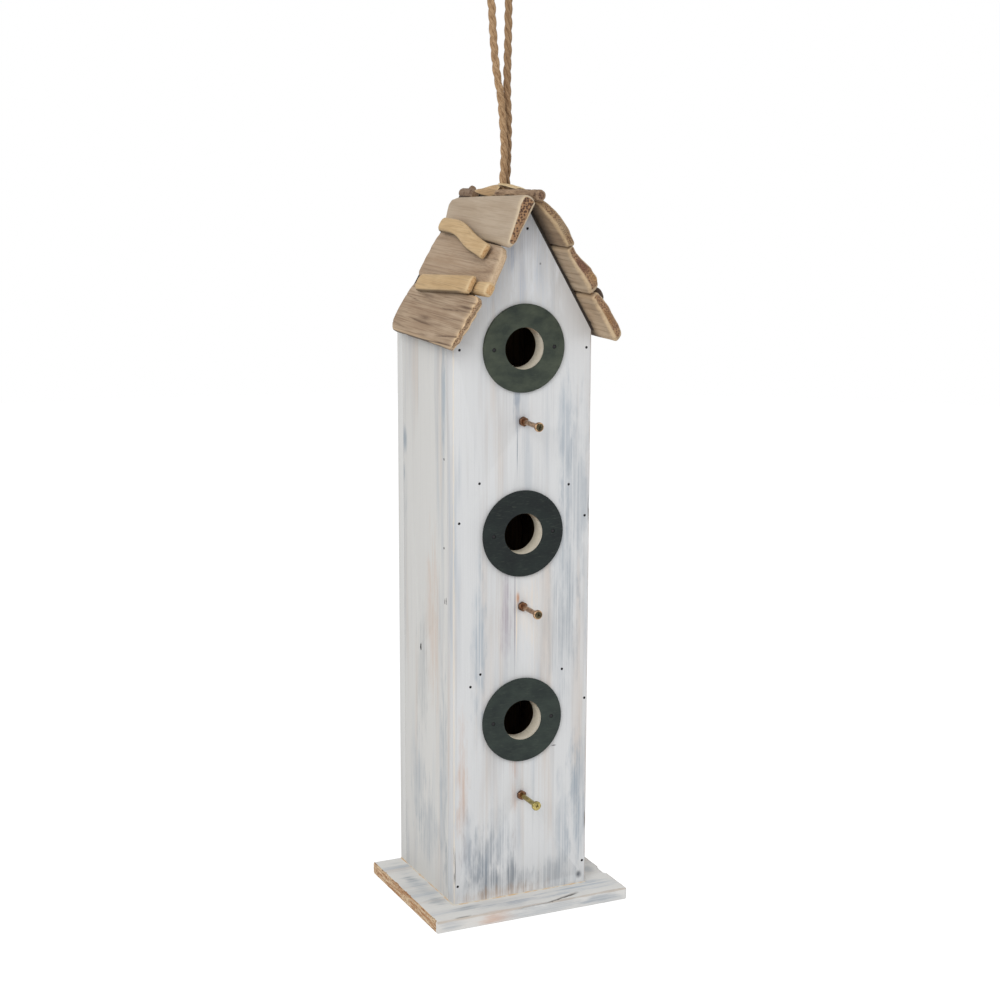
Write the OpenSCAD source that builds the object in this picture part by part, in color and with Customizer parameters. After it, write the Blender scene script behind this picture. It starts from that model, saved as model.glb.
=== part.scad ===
// Hanging birdhouse: a tall three-room box with a driftwood gable roof and a rope loop.
// Millimetres, +Z up, the front faces -Y. The origin is the middle of the base plate's underside.

/* [Box] */
// Width of the box across the front
body_w = 120; // [100:1:160]
// Depth of the box from front to back
body_d = 114; // [100:1:150]
// Height of the side walls at the eaves, above the base plate
eave_h = 465; // [450:1:520]
// Thickness of the wall boards
wall_t = 12; // [8:0.5:15]
// Thickness of the two floors between the rooms
floor_t = 10; // [6:0.5:12]
// Pitch of the gable
roof_pitch = 60; // [56:1:64]

/* [Base plate] */
// Thickness of the base plate
base_t = 10; // [6:0.5:16]
// How far the base plate reaches past the front wall
base_front_ledge = 26; // [10:1:40]
// How far the base plate reaches past each side wall
base_side_ledge = 26; // [10:1:40]

/* [Entrances] */
// Diameter of the entrance holes
entrance_d = 33; // [26:0.5:40]
// Diameter of the round plate about each entrance
plate_d = 70; // [60:1:80]
// Thickness of the round plates
plate_t = 2.5; // [2:0.5:6]
// Height of the lower entrance above the base plate
lower_entrance_h = 151; // [140:0.5:160]
// Rise from the lower to the middle entrance
middle_entrance_rise = 155; // [150:0.5:165]
// Rise from the middle to the upper entrance
upper_entrance_rise = 148.5; // [142:0.5:160]
// From an entrance's centre up to the floor above it
floor_above_entrance = 35; // [24:0.5:50]

/* [Perches] */
// Diameter of the perch screws
screw_d = 4; // [3:0.5:6]
// How far a perch screw stands out of the wall
screw_reach = 28; // [18:1:45]
// How deep a perch screw goes into the wall
screw_bite = 6; // [4:0.5:7]
// Diameter of the pan head
screw_head_d = 7.6; // [6.5:0.1:12]
// Height of the pan head
screw_head_t = 2.4; // [2:0.1:4]
// Width across the flats of the nut
nut_af = 7; // [6.5:0.5:10]
// Thickness of the nut
nut_t = 3.2; // [2:0.1:5]
// Drop from the lower entrance to its perch
lower_perch_drop = 64.5; // [50:0.5:70]
// Drop from the middle entrance to its perch
middle_perch_drop = 60; // [50:0.5:70]
// Drop from the upper entrance to its perch
upper_perch_drop = 58; // [50:0.5:70]

/* [Roof] */
// Thickness of the thin dark roof panels
panel_t = 2; // [1.5:0.5:4]
// How far the driftwood reaches past the front wall
roof_front_reach = 28; // [15:1:35]
// How far the driftwood stops short of the flat back
roof_back_setback = 11; // [5:1:20]
// Reach of the lowest boards past the eaves, along the slope
eave_reach = 9; // [4:1:16]
// Width of the top driftwood boards down the slope
top_board_w = 38; // [30:1:44]
// Width of the middle driftwood boards down the slope
middle_board_w = 34; // [26:1:40]
// Thickness of the driftwood boards
board_t = 9.4; // [7:0.2:12]
// Thickness of the two heavy driftwood boards low on the right
heavy_board_t = 11.4; // [8:0.2:13]
// Depth of the worn edge round each driftwood board
board_wear = 2.6; // [1:0.1:3]
// Gap between neighbouring driftwood pieces
board_gap = 0.6; // [0.3:0.1:1.5]
// Thickness of the twigs along the ridge
ridge_twig_d = 9.2; // [7:0.2:9.6]
// Thickness of the thin chips of wood along the ridge
ridge_chip_t = 3; // [2:0.2:3.4]
// Width of the sticks laid over the joints
stick_w = 13; // [9:0.5:15]
// Thickness of the sticks laid over the joints
stick_t = 6.2; // [4:0.2:8]

/* [Rope] */
// Diameter of the jute rope
rope_d = 6; // [4:0.5:6]
// Diameter of the hole that the rope goes through
rope_hole_d = 14; // [13:0.5:16]
// Diameter of the knot under the roof
knot_d = 18; // [16.5:0.5:20]

/* [Hidden] */

// Colours
whitewash = "#ced1d3";
dark_plate = "#3a463e";
dark_ply = "#2b2622";
grey_drift = "#b8a58f";
brown_drift = "#a58a6e";
pale_stick = "#cdaf82";
twig_brown = "#6e5a4a";
jute = "#be9669";
brass = "#b49a5a";

// Face-to-face pieces that are curved or loose keep this clearance
seat_gap = 0.3;
// A cut runs this far past the faces that it goes through
cut_past = 1;
// Clearance of a perch screw in its nut and in the wall, on the radius
thread_gap = 0.05;

// Box
base_w = body_w + 2 * base_side_ledge;
base_d = body_d + base_front_ledge;
back_y = base_d / 2;
front_y = back_y - body_d;
side_wall_d = body_d - 2 * wall_t;
inner_w = body_w - 2 * wall_t;
eave_z = base_t + eave_h;
apex_z = eave_z + body_w / 2 * tan(roof_pitch);
slope_len = body_w / 2 / cos(roof_pitch);

// Entrances, floors and perches
lower_entrance_z = base_t + lower_entrance_h;
middle_entrance_z = lower_entrance_z + middle_entrance_rise;
upper_entrance_z = middle_entrance_z + upper_entrance_rise;
middle_floor_z = lower_entrance_z + floor_above_entrance;
upper_floor_z = middle_entrance_z + floor_above_entrance;
lower_perch_z = lower_entrance_z - lower_perch_drop;
middle_perch_z = middle_entrance_z - middle_perch_drop;
upper_perch_z = upper_entrance_z - upper_perch_drop;

// Driftwood lies on the slopes: x runs down the slope from the ridge, y to the back, z off the roof
roof_front_y = front_y - roof_front_reach;
roof_back_y = back_y - roof_back_setback;
roof_edge_s = slope_len + eave_reach;
board_bed = panel_t + seat_gap / 2;
stick_bed = board_bed + board_t + seat_gap;
heavy_stick_bed = board_bed + max(board_t, heavy_board_t) + seat_gap;
ridge_bare = 2;
top_board_end = ridge_bare + top_board_w;
middle_board_end = top_board_end + middle_board_w;
knobbed_twig_front_y = along_roof(0.82);
stub_w = 10.4;
stub_t = board_t - 0.4;

// Rope
rope_y = along_roof(0.49);
knot_z = apex_z - knot_d / 2 / cos(roof_pitch) - seat_gap;
knot_flat_z = knot_z + 0.36 * knot_d;

// Round route of the rope's loop: up the left part, over the top and down the right part.
// x and y are from the rope hole's axis, z is above the ridge.
loop_top = [-4, 0, 186];
loop_r = 13;
rope_left = [[-1.9, -2, 11], [-0.8, -2.1, 36], [-2.3, -1.9, 61], [-4.1, -1.5, 79], [-7.2, -1.2, 96],
    [-9.1, -0.8, 113], [-10.2, -0.4, 129], [-11, 0, 144], [-12.3, 0, 159], [-14.8, 0, 173]];
rope_right = [[6.9, 0, 173], [4.3, 0, 159], [3.2, 0, 144], [3.2, 0.3, 129], [3.1, 0.7, 113], [2.9, 1.2, 96],
    [3.1, 1.6, 79], [4, 1.9, 61], [3.9, 2.1, 36], [2.9, 1.9, 11]];
loop_arc = [for (a = [180:-30:0]) loop_top + loop_r * [cos(a), 0, sin(a)]];
rope_start = [rope_left[0][0], rope_left[0][1], knot_flat_z - apex_z];
rope_foot = rope_right[len(rope_right) - 1];
rope_finish = [rope_foot[0], rope_foot[1], knot_flat_z - apex_z];
rope_route = concat([rope_start], rope_left, loop_arc, rope_right, [rope_finish]);
rope_sides = 10;

// The place along Y at a share of the driftwood's length, from its front end
function along_roof(share) = roof_front_y + share * (roof_back_y - roof_front_y);

// --- shared shapes ---

module gable_board(thick) {
    half = body_w / 2;
    rotate([90, 0, 0]) linear_extrude(thick)
        polygon([[-half, base_t], [half, base_t], [half, eave_z], [0, apex_z], [-half, eave_z]]);
}

module side_wall() {
    rise = wall_t * tan(roof_pitch);
    translate([0, front_y + wall_t + side_wall_d, 0]) rotate([90, 0, 0]) linear_extrude(side_wall_d)
        polygon([[body_w / 2 - wall_t, base_t], [body_w / 2, base_t],
            [body_w / 2, eave_z], [body_w / 2 - wall_t, eave_z + rise]]);
}

module room_floor(z) {
    translate([-inner_w / 2, front_y + wall_t, z]) cube([inner_w, side_wall_d, floor_t]);
}

// A round bar along +Y from the front face, for what is bored into or stands on the front wall
module front_bar(d, y_from, y_to, z) {
    translate([0, y_to, z]) rotate([90, 0, 0]) cylinder(d = d, h = y_to - y_from, $fn = 48);
}

module entrance_plate(z) {
    difference() {
        front_bar(plate_d, front_y - plate_t, front_y, z);
        front_bar(entrance_d, front_y - plate_t - cut_past, front_y + cut_past, z);
    }
}

module perch_screw(z) {
    head_y = front_y - screw_reach;
    slot_w = screw_head_d * 0.16;
    slot_l = screw_head_d * 0.6;
    difference() {
        union() {
            front_bar(screw_d, head_y, front_y + screw_bite, z);
            front_bar(screw_head_d, head_y - screw_head_t * 0.6, head_y, z);
            front_bar(screw_head_d * 0.8, head_y - screw_head_t, head_y, z);
        }
        for (turn = [0, 90]) translate([0, head_y - screw_head_t, z]) rotate([0, turn + 20, 0])
            cube([slot_w, screw_head_t, slot_l], center = true);
    }
}

module perch_nut(z) {
    difference() {
        translate([0, front_y, z]) rotate([90, 0, 0]) cylinder(d = nut_af / cos(30), h = nut_t, $fn = 6);
        front_bar(screw_d + 2 * thread_gap, front_y - nut_t - cut_past, front_y + cut_past, z);
    }
}

// Places children on the right slope: x down the slope, y to the back, z off the roof
module on_right_slope() {
    translate([0, 0, apex_z]) rotate([0, roof_pitch, 0]) children();
}

module on_left_slope() {
    mirror([1, 0, 0]) on_right_slope() children();
}

module roof_panel() {
    translate([seat_gap / 2, front_y, 0]) cube([slope_len, body_d, panel_t]);
}

module rope_hole() {
    translate([0, rope_y, apex_z - slope_len / 2]) cylinder(d = rope_hole_d, h = slope_len, $fn = 32);
}

// A driftwood board with worn edges. Its four corners are [slope, y] pairs in order round the board.
module worn_board(corners, thick) {
    translate([0, 0, board_bed]) hull() {
        translate([0, 0, board_wear]) linear_extrude(thick - 2 * board_wear)
            offset(r = board_wear, $fn = 20) offset(delta = -board_wear) polygon(corners);
        linear_extrude(thick) offset(delta = -board_wear) polygon(corners);
    }
}

// A flat stick with rounded ends through the given [slope, y] points
module flat_stick(points, w, thick, bed) {
    edge = thick * 0.3;
    for (i = [1:len(points) - 1]) hull() for (p = [points[i - 1], points[i]]) translate([p[0], p[1], bed]) {
        translate([0, 0, edge]) cylinder(d = w, h = thick - 2 * edge, $fn = 20);
        cylinder(d = w - 2 * edge, h = thick, $fn = 20);
    }
}

// A round twig through [x, y, height over the ridge, radius] points
module twig(points) {
    for (i = [1:len(points) - 1]) hull() for (p = [points[i - 1], points[i]])
        translate([p[0], p[1], apex_z + p[2]]) sphere(r = p[3], $fn = 20);
}

// A thin chip of wood spanned by [x, y, height over the ridge] corners
module chip(corners, r) {
    hull() for (p = corners) translate([p[0], p[1], apex_z + p[2]]) sphere(r = r, $fn = 16);
}

// --- box ---

module base_plate() {
    color(whitewash) translate([-base_w / 2, -base_d / 2, 0]) cube([base_w, base_d, base_t]);
}

module front_wall() {
    color(whitewash) difference() {
        translate([0, front_y + wall_t, 0]) gable_board(wall_t);
        for (z = [lower_entrance_z, middle_entrance_z, upper_entrance_z])
            front_bar(entrance_d, front_y - cut_past, front_y + wall_t + cut_past, z);
        for (z = [lower_perch_z, middle_perch_z, upper_perch_z])
            front_bar(screw_d + 2 * thread_gap, front_y - cut_past, front_y + screw_bite + thread_gap, z);
    }
}

module back_wall() {
    color(whitewash) translate([0, back_y, 0]) gable_board(wall_t);
}

module left_wall() {
    color(whitewash) mirror([1, 0, 0]) side_wall();
}

module right_wall() {
    color(whitewash) side_wall();
}

module middle_floor() {
    color(whitewash) room_floor(middle_floor_z);
}

module upper_floor() {
    color(whitewash) room_floor(upper_floor_z);
}

// --- entrances and perches ---

module lower_entrance_plate() {
    color(dark_plate) entrance_plate(lower_entrance_z);
}

module middle_entrance_plate() {
    color(dark_plate) entrance_plate(middle_entrance_z);
}

module upper_entrance_plate() {
    color(dark_plate) entrance_plate(upper_entrance_z);
}

module lower_perch_screw() {
    color(brass) perch_screw(lower_perch_z);
}

module middle_perch_screw() {
    color(brass) perch_screw(middle_perch_z);
}

module upper_perch_screw() {
    color(brass) perch_screw(upper_perch_z);
}

module lower_perch_nut() {
    color(brass) perch_nut(lower_perch_z);
}

module middle_perch_nut() {
    color(brass) perch_nut(middle_perch_z);
}

module upper_perch_nut() {
    color(brass) perch_nut(upper_perch_z);
}

// --- roof ---

module left_roof_panel() {
    color(dark_ply) difference() {
        on_left_slope() roof_panel();
        rope_hole();
    }
}

module right_roof_panel() {
    color(dark_ply) difference() {
        on_right_slope() roof_panel();
        rope_hole();
    }
}

module left_top_board() {
    color(grey_drift) difference() {
        on_left_slope() worn_board([[ridge_bare, roof_front_y + 4], [top_board_end + 2.5, roof_front_y - 5],
            [top_board_end - 2, roof_back_y - 2], [9.5, roof_back_y - 4]], board_t + 0.6);
        rope_hole();
    }
}

module left_middle_board() {
    color(grey_drift) on_left_slope()
        worn_board([[top_board_end + 2.5 + board_gap, roof_front_y + 1], [middle_board_end, roof_front_y - 6],
            [middle_board_end + 3, roof_back_y - 3], [top_board_end - 2 + board_gap, roof_back_y - 1]],
            board_t - 0.4);
}

module left_lower_board() {
    stub_end = middle_board_end + stub_w + 2 * board_gap;
    color(brown_drift) on_left_slope()
        worn_board([[stub_end, roof_front_y + 2], [roof_edge_s + 1, roof_front_y - 3],
            [roof_edge_s, roof_back_y + 1], [stub_end + 3, roof_back_y - 5]], board_t);
}

module right_top_board() {
    color(grey_drift) difference() {
        on_right_slope() worn_board([[ridge_bare, roof_front_y + 4], [top_board_end - 2, roof_front_y + 3],
            [top_board_end + 4, roof_back_y - 1], [6, roof_back_y - 3]], board_t);
        rope_hole();
    }
}

module right_middle_board() {
    color(brown_drift) on_right_slope()
        worn_board([[top_board_end - 2 + board_gap, roof_front_y], [middle_board_end + 7, roof_front_y - 2],
            [middle_board_end + 13, roof_back_y], [top_board_end + 4 + board_gap, roof_back_y - 2]], heavy_board_t);
}

module right_lower_board() {
    color(brown_drift) on_right_slope()
        worn_board([[middle_board_end + 7 + board_gap, roof_front_y - 1], [roof_edge_s - 3, roof_front_y - 2],
            [roof_edge_s - 1, roof_back_y - 2], [middle_board_end + 13 + board_gap, roof_back_y]], heavy_board_t);
}

module left_wavy_stick() {
    color(pale_stick) on_left_slope() flat_stick([[top_board_end - 4.5, along_roof(0.84)],
        [top_board_end - 3, along_roof(0.61)], [top_board_end + 6, along_roof(0.35)],
        [top_board_end + 11.5, along_roof(0.115)]], stick_w, stick_t, stick_bed + 0.6);
}

module left_straight_stick() {
    s = middle_board_end + 5;
    color(pale_stick) on_left_slope() flat_stick([[s + 0.5, along_roof(0.1)], [s + 7.5, along_roof(0.75)]],
        stick_w, stick_t, stick_bed - 0.25);
}

module left_stub_stick() {
    s = middle_board_end + board_gap + stub_w / 2;
    color(pale_stick) on_left_slope() flat_stick([[s, along_roof(-0.01)], [s + 1.6, along_roof(0.4)]],
        stub_w - 0.8, stub_t, board_bed);
}

module right_upper_stick() {
    color(twig_brown) on_right_slope() flat_stick([[top_board_end + 13, along_roof(0.24)],
        [top_board_end + 5, along_roof(0.87)]], stick_w, stick_t, heavy_stick_bed);
}

module right_lower_stick() {
    color(twig_brown) on_right_slope() flat_stick([[middle_board_end + 19, along_roof(0.18)],
        [middle_board_end + 12, along_roof(0.89)]], stick_w, stick_t, heavy_stick_bed);
}

module ridge_front_twig() {
    r = ridge_twig_d / 2;
    color(twig_brown) twig([[3.5, along_roof(0.07), r + 0.3, r], [2.5, along_roof(0.17), r + 0.5, 0.95 * r],
        [-1.5, along_roof(0.33), r + 0.9, 0.83 * r], [-7.6, rope_y - 7.8, r - 2.4, 0.7 * r]]);
}

module ridge_knobbed_twig() {
    r = 0.95 * ridge_twig_d / 2;
    y = knobbed_twig_front_y;
    color(twig_brown) union() {
        twig([[-8, along_roof(0.93), r - 4.5, r], [-7.7, y, r - 4, r]]);
        twig([[-7.4, y + 3, r - 2.8, 0.7 * r], [-6.4, y, r + 0.2, 0.65 * r]]);
    }
}

module ridge_left_strip() {
    r = ridge_chip_t / 2;
    back_y = knobbed_twig_front_y - ridge_twig_d / 2 - 2 * r;
    color(pale_stick) chip([[-8.5, back_y, r + 1], [-6.5, (back_y + rope_y) / 2, r + 4.9],
        [-11, (back_y + rope_y) / 2, r + 0.4], [-6.6, rope_y + 2, r + 5.5], [-11.2, rope_y + 1, r + 0.3]], r);
}

module ridge_right_strip() {
    r = ridge_chip_t / 2;
    color(pale_stick) chip([[7.8, rope_y + 20, r + 6.5], [7.8, rope_y - 19, r + 5.7],
        [12.4, rope_y + 18, r + 3.9], [12.4, rope_y - 19, r + 4.1]], r);
}

// --- rope ---

function unit(v) = v / norm(v);

// Direction of the route at point i, from its neighbours
function heading(route, i) = unit(route[min(i + 1, len(route) - 1)] - route[max(i - 1, 0)]);

// A ring of points about the route at point i, level in y so that the rings don't twist
function ring(route, i, r) = let (
    along = heading(route, i),
    across = unit(cross(along, [0, 1, 0])),
    third = cross(across, along)
) [for (k = [0:rope_sides - 1]) let (a = 360 * k / rope_sides)
    route[i] + r * (cos(a) * across + sin(a) * third)];

module hanging_rope() {
    rings = len(rope_route);
    points = [for (i = [0:rings - 1]) each ring(rope_route, i, rope_d / 2)];
    sides = [for (i = [0:rings - 2], k = [0:rope_sides - 1]) let (
        a = i * rope_sides + k,
        b = i * rope_sides + (k + 1) % rope_sides
    ) [a, b, b + rope_sides, a + rope_sides]];
    near_end = [for (k = [rope_sides - 1:-1:0]) k];
    far_end = [for (k = [0:rope_sides - 1]) (rings - 1) * rope_sides + k];
    color(jute) translate([0, rope_y, apex_z])
        polyhedron(points, concat(sides, [near_end, far_end]), convexity = 6);
}

module rope_knot() {
    color(jute) difference() {
        translate([0, rope_y, knot_z]) sphere(d = knot_d, $fn = 48);
        translate([-knot_d, rope_y - knot_d, knot_flat_z]) cube([2 * knot_d, 2 * knot_d, knot_d]);
    }
}

base_plate();
front_wall();
back_wall();
left_wall();
right_wall();
middle_floor();
upper_floor();
lower_entrance_plate();
middle_entrance_plate();
upper_entrance_plate();
lower_perch_screw();
middle_perch_screw();
upper_perch_screw();
lower_perch_nut();
middle_perch_nut();
upper_perch_nut();
left_roof_panel();
right_roof_panel();
left_top_board();
left_middle_board();
left_lower_board();
right_top_board();
right_middle_board();
right_lower_board();
left_wavy_stick();
left_straight_stick();
left_stub_stick();
right_upper_stick();
right_lower_stick();
ridge_front_twig();
ridge_knobbed_twig();
ridge_left_strip();
ridge_right_strip();
hanging_rope();
rope_knot();
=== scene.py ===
"""Looks of the hanging birdhouse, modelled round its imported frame.

Sizes are in millimetres and turned to metres when a piece is placed. +Z is up, the front faces -Y.
"""

import math
import random

import bpy
from mathutils import Matrix, Quaternion, Vector, noise


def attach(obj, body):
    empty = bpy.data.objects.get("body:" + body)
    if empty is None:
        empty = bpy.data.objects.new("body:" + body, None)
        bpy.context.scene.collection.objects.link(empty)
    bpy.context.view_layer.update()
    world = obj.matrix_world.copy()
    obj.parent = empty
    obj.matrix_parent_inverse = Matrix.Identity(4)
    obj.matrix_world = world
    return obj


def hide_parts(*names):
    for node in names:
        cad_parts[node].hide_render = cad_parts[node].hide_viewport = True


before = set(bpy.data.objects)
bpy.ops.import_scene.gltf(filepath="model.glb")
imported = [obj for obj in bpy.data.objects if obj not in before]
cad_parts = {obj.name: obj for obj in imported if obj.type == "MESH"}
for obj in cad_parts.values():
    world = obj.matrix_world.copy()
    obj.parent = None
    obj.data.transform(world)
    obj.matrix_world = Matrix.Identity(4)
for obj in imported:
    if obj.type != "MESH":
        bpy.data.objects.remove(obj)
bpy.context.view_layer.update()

MM = 0.001
DEG = math.pi / 180
QUARTER = 90 * DEG
# A surface that turns by more degrees than this keeps its edge.
FOLD = 35

# Camera
LENS, SENSOR = 74.04, 36
CAMERA_AT = (-690.02, -1484.21, 684.64)
CAMERA_AIM = (0.70, -0.33, 334.49)
CAMERA_ROLL = 0.175

# Box
HALF_W = 60
FRONT_Y, BACK_Y = -44, 70
WALL_T = 12
BASE_W, BASE_D, BASE_T = 172, 140, 10
EAVE_Z, APEX_Z = 475, 578.92
ENTRANCE_Z = {"lower": 161, "middle": 316, "upper": 464.5}
PERCH_Z = {"lower": 96.5, "middle": 256, "upper": 406.5}
ENTRANCE_D, PLATE_D, PLATE_T = 33, 70, 2.5
SCREW_D, SCREW_REACH, SCREW_BITE = 4, 28, 6
HEAD_D, HEAD_T, NUT_AF, NUT_T = 7.6, 2.4, 7, 3.2

# Roof: down the slope from the ridge, along +Y, and off the slope
PITCH = 60
ROOF_FRONT, ROOF_LEN = -72, 131
BED = 2.15
ROPE_Y = ROOF_FRONT + 0.49 * ROOF_LEN
ROPE_HOLE_D = 14


def clamp(x, low=0.0, high=1.0):
    return max(low, min(high, x))


# --- working by hand -------------------------------------------------------


def pick(*pieces):
    """Leaves only these pieces selected, with the first one active."""
    if bpy.context.object and bpy.context.object.mode != "OBJECT":
        bpy.ops.object.mode_set(mode="OBJECT")
    bpy.ops.object.select_all(action="DESELECT")
    for piece in pieces:
        piece.select_set(True)
    bpy.context.view_layer.objects.active = pieces[0]


def settle(piece):
    """Puts a piece's place, turn and size into its mesh."""
    pick(piece)
    bpy.ops.object.transform_apply(location=True, rotation=True, scale=True)


def named(name):
    """Names and settles the primitive that was just added."""
    piece = bpy.context.object
    piece.name = piece.data.name = name
    settle(piece)
    return piece


def block(name, low, high):
    """A block from its lowest to its highest corner."""
    low, high = Vector(low), Vector(high)
    bpy.ops.mesh.primitive_cube_add(size=1, location=(low + high) / 2 * MM, scale=(high - low) * MM)
    return named(name)


def bar(name, sides, radius=1, depth=2, at=(0, 0, 0), turn=(0, 0, 0)):
    """A round bar along Z, put at a point and turned. The plain one is to be shaped point by point."""
    bpy.ops.mesh.primitive_cylinder_add(
        vertices=sides, radius=radius, depth=depth, location=at, rotation=turn)
    return named(name)


def rod(name, diameter, y_from, y_to, x, z, sides):
    """A round bar along Y, in millimetres."""
    return bar(name, sides, diameter / 2 * MM, (y_to - y_from) * MM,
               Vector((x, (y_from + y_to) / 2, z)) * MM, (QUARTER, 0, 0))


def edit(piece, kind="FACE", choose=lambda part: True):
    """Opens a piece in edit mode with the faces, edges or points that choose accepts selected."""
    pick(piece)
    bpy.ops.object.mode_set(mode="EDIT")
    bpy.ops.mesh.select_mode(type=kind)
    bpy.ops.mesh.select_all(action="DESELECT")
    bpy.ops.object.mode_set(mode="OBJECT")
    mesh = piece.data
    for part in {"FACE": mesh.polygons, "EDGE": mesh.edges, "VERT": mesh.vertices}[kind]:
        part.select = choose(part)
    bpy.ops.object.mode_set(mode="EDIT")


def leave():
    bpy.ops.object.mode_set(mode="OBJECT")


def apply(piece, kind, **settings):
    """Gives a piece one modifier and applies it."""
    pick(piece)
    made = piece.modifiers.new(kind.title(), kind)
    for name, value in settings.items():
        setattr(made, name, value)
    bpy.ops.object.modifier_apply(modifier=made.name)


def combine(piece, operation, *tools):
    """Cuts tools out of a piece, crosses or unites it with them, and throws them away."""
    for tool in tools:
        apply(piece, "BOOLEAN", object=tool, operation=operation, solver="EXACT")
        bpy.data.objects.remove(tool)


def cut(piece, *tools):
    combine(piece, "DIFFERENCE", *tools)


def ease(piece, width, segments, angle=FOLD):
    """Rounds a piece's arrises."""
    apply(piece, "BEVEL", width=width * MM, segments=segments, limit_method="ANGLE",
          angle_limit=angle * DEG, harden_normals=False)


def rub(piece, width, choose):
    """Rounds the edges whose middle and direction choose accepts."""
    points = piece.data.vertices

    def chosen(edge):
        a, b = (points[i].co for i in edge.vertices)
        return choose((a + b) / 2 / MM, (b - a).normalized())

    edit(piece, "EDGE", chosen)
    bpy.ops.mesh.bevel(offset=width * MM, segments=3)
    leave()


def inset_faces(piece, choose, *widths):
    """Insets the faces that choose accepts, once for each width."""
    edit(piece, "FACE", choose)
    for width in widths:
        bpy.ops.mesh.inset(thickness=width)
    leave()


def smooth(piece, angle=None):
    """Shades a piece smooth, except where it turns by more than the angle."""
    pick(piece)
    if angle:
        bpy.ops.object.shade_smooth_by_angle(angle=angle * DEG)
    else:
        bpy.ops.object.shade_smooth()


def join(name, pieces):
    """Joins pieces into the first of them."""
    pick(*pieces)
    bpy.ops.object.join()
    pieces[0].name = pieces[0].data.name = name
    return pieces[0]


def copy_of(piece, name, shift=(0, 0, 0)):
    """A copy of a piece with its own mesh, moved by shift."""
    pick(piece)
    bpy.ops.object.duplicate(linked=False)
    made = bpy.context.object
    made.location = Vector(shift) * MM
    made.name = made.data.name = name
    settle(made)
    return made


def slice_along(piece, axis, cuts):
    """Cuts every edge that runs along an axis into cuts + 1 parts."""
    mesh = piece.data

    def runs_along(edge):
        way = mesh.vertices[edge.vertices[1]].co - mesh.vertices[edge.vertices[0]].co
        return abs(way[axis]) > 0.999 * way.length

    edit(piece, "EDGE", runs_along)
    bpy.ops.mesh.subdivide(number_cuts=cuts)
    leave()


def sliced_cube(name, cuts):
    """A cube from -1 to 1 cut along each axis, to be shaped point by point."""
    bpy.ops.mesh.primitive_cube_add(size=2)
    piece = named(name)
    for axis, count in enumerate(cuts):
        slice_along(piece, axis, count)
    return piece


def outward(piece):
    edit(piece)
    bpy.ops.mesh.normals_make_consistent(inside=False)
    leave()


def shaped(piece, angle=None, **numbers):
    """Ends a piece that was shaped point by point. numbers holds one number a point under each name,
    for its material to read."""
    for name, values in numbers.items():
        piece.data.attributes.new(name, "FLOAT", "POINT").data.foreach_set("value", values)
    outward(piece)
    smooth(piece, angle)
    return piece


def coat(piece, *materials, choose=None):
    """Gives a piece its materials; choose gives the number of each face's one, from the face and its
    middle."""
    piece.data.materials.clear()
    for each in materials:
        piece.data.materials.append(each)
    if choose:
        for face in piece.data.polygons:
            face.material_index = int(choose(face, face.center / MM))


def done(piece, material, slot, *stands_for):
    """Gives a finished piece its material, unless it has some, and its place in the frame."""
    if material:
        coat(piece, material)
    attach(piece, "root")
    if stands_for:
        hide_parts(*stands_for)
    return piece


# --- nodes of a material ---------------------------------------------------


def linear(code):
    """An sRGB hex colour as linear RGBA."""
    parts = [int(code[i : i + 2], 16) / 255 for i in (1, 3, 5)]
    return (*(p / 12.92 if p <= 0.04045 else ((p + 0.055) / 1.055) ** 2.4 for p in parts), 1.0)


def add(tree, kind, settings=None, sockets=None):
    """Adds a node with its settings, and with its sockets set or linked."""
    made = tree.nodes.new("ShaderNode" + kind)
    for name, value in (settings or {}).items():
        setattr(made, name, value)
    for name, value in (sockets or {}).items():
        if isinstance(value, bpy.types.NodeSocket):
            tree.links.new(value, made.inputs[name])
        else:
            made.inputs[name].default_value = linear(value) if isinstance(value, str) else value
    return made


def start(name):
    """A new material and its empty node tree."""
    made = bpy.data.materials.new(name)
    made.use_nodes = True
    made.node_tree.nodes.clear()
    return made, made.node_tree


def surface(made, colour, rough, normal=None, **more):
    """Ends a material with its shader, and returns it. more names other inputs, with _ for spaces."""
    sockets = {"Base Color": colour, "Roughness": rough}
    sockets.update({name.replace("_", " "): value for name, value in more.items()})
    if normal is not None:
        sockets["Normal"] = normal
    shader = add(made.node_tree, "BsdfPrincipled", {}, sockets)
    add(made.node_tree, "OutputMaterial", {}, {"Surface": shader.outputs[0]})
    return made


def mix(tree, share, first, second):
    """A colour on the way from the first to the second."""
    # The node's sockets for colours are its factor 0 and its inputs 6 and 7.
    return add(tree, "Mix", {"data_type": "RGBA"}, {0: share, 6: first, 7: second}).outputs[2]


def ramp(tree, value, low, high, to=1.0, since=0.0, soft=False):
    """A value that goes from since to to, while another one goes from low to high."""
    return add(tree, "MapRange", {"interpolation_type": "SMOOTHSTEP"} if soft else {}, {
        "Value": value, "From Min": low, "From Max": high, "To Min": since, "To Max": to}).outputs[0]


def sums(tree, operation, *values):
    return add(tree, "Math", {"operation": operation}, dict(enumerate(values))).outputs[0]


def times_plus(tree, value, factor, more):
    return sums(tree, "MULTIPLY_ADD", value, factor, more)


def bump(tree, strength, depth, height):
    return add(tree, "Bump", {}, {
        "Strength": strength, "Distance": depth * MM, "Height": height}).outputs[0]


def marked(tree, name):
    """The number that shaped wrote under a name, or 0."""
    return add(tree, "Attribute", {"attribute_name": name}).outputs["Fac"]


def here(tree):
    return add(tree, "TexCoord").outputs["Object"]


def part_of(tree, vector, axis):
    return add(tree, "SeparateXYZ", {}, {0: vector}).outputs[axis]


def facing_up(tree):
    return part_of(tree, add(tree, "NewGeometry").outputs["Normal"], 2)


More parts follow.
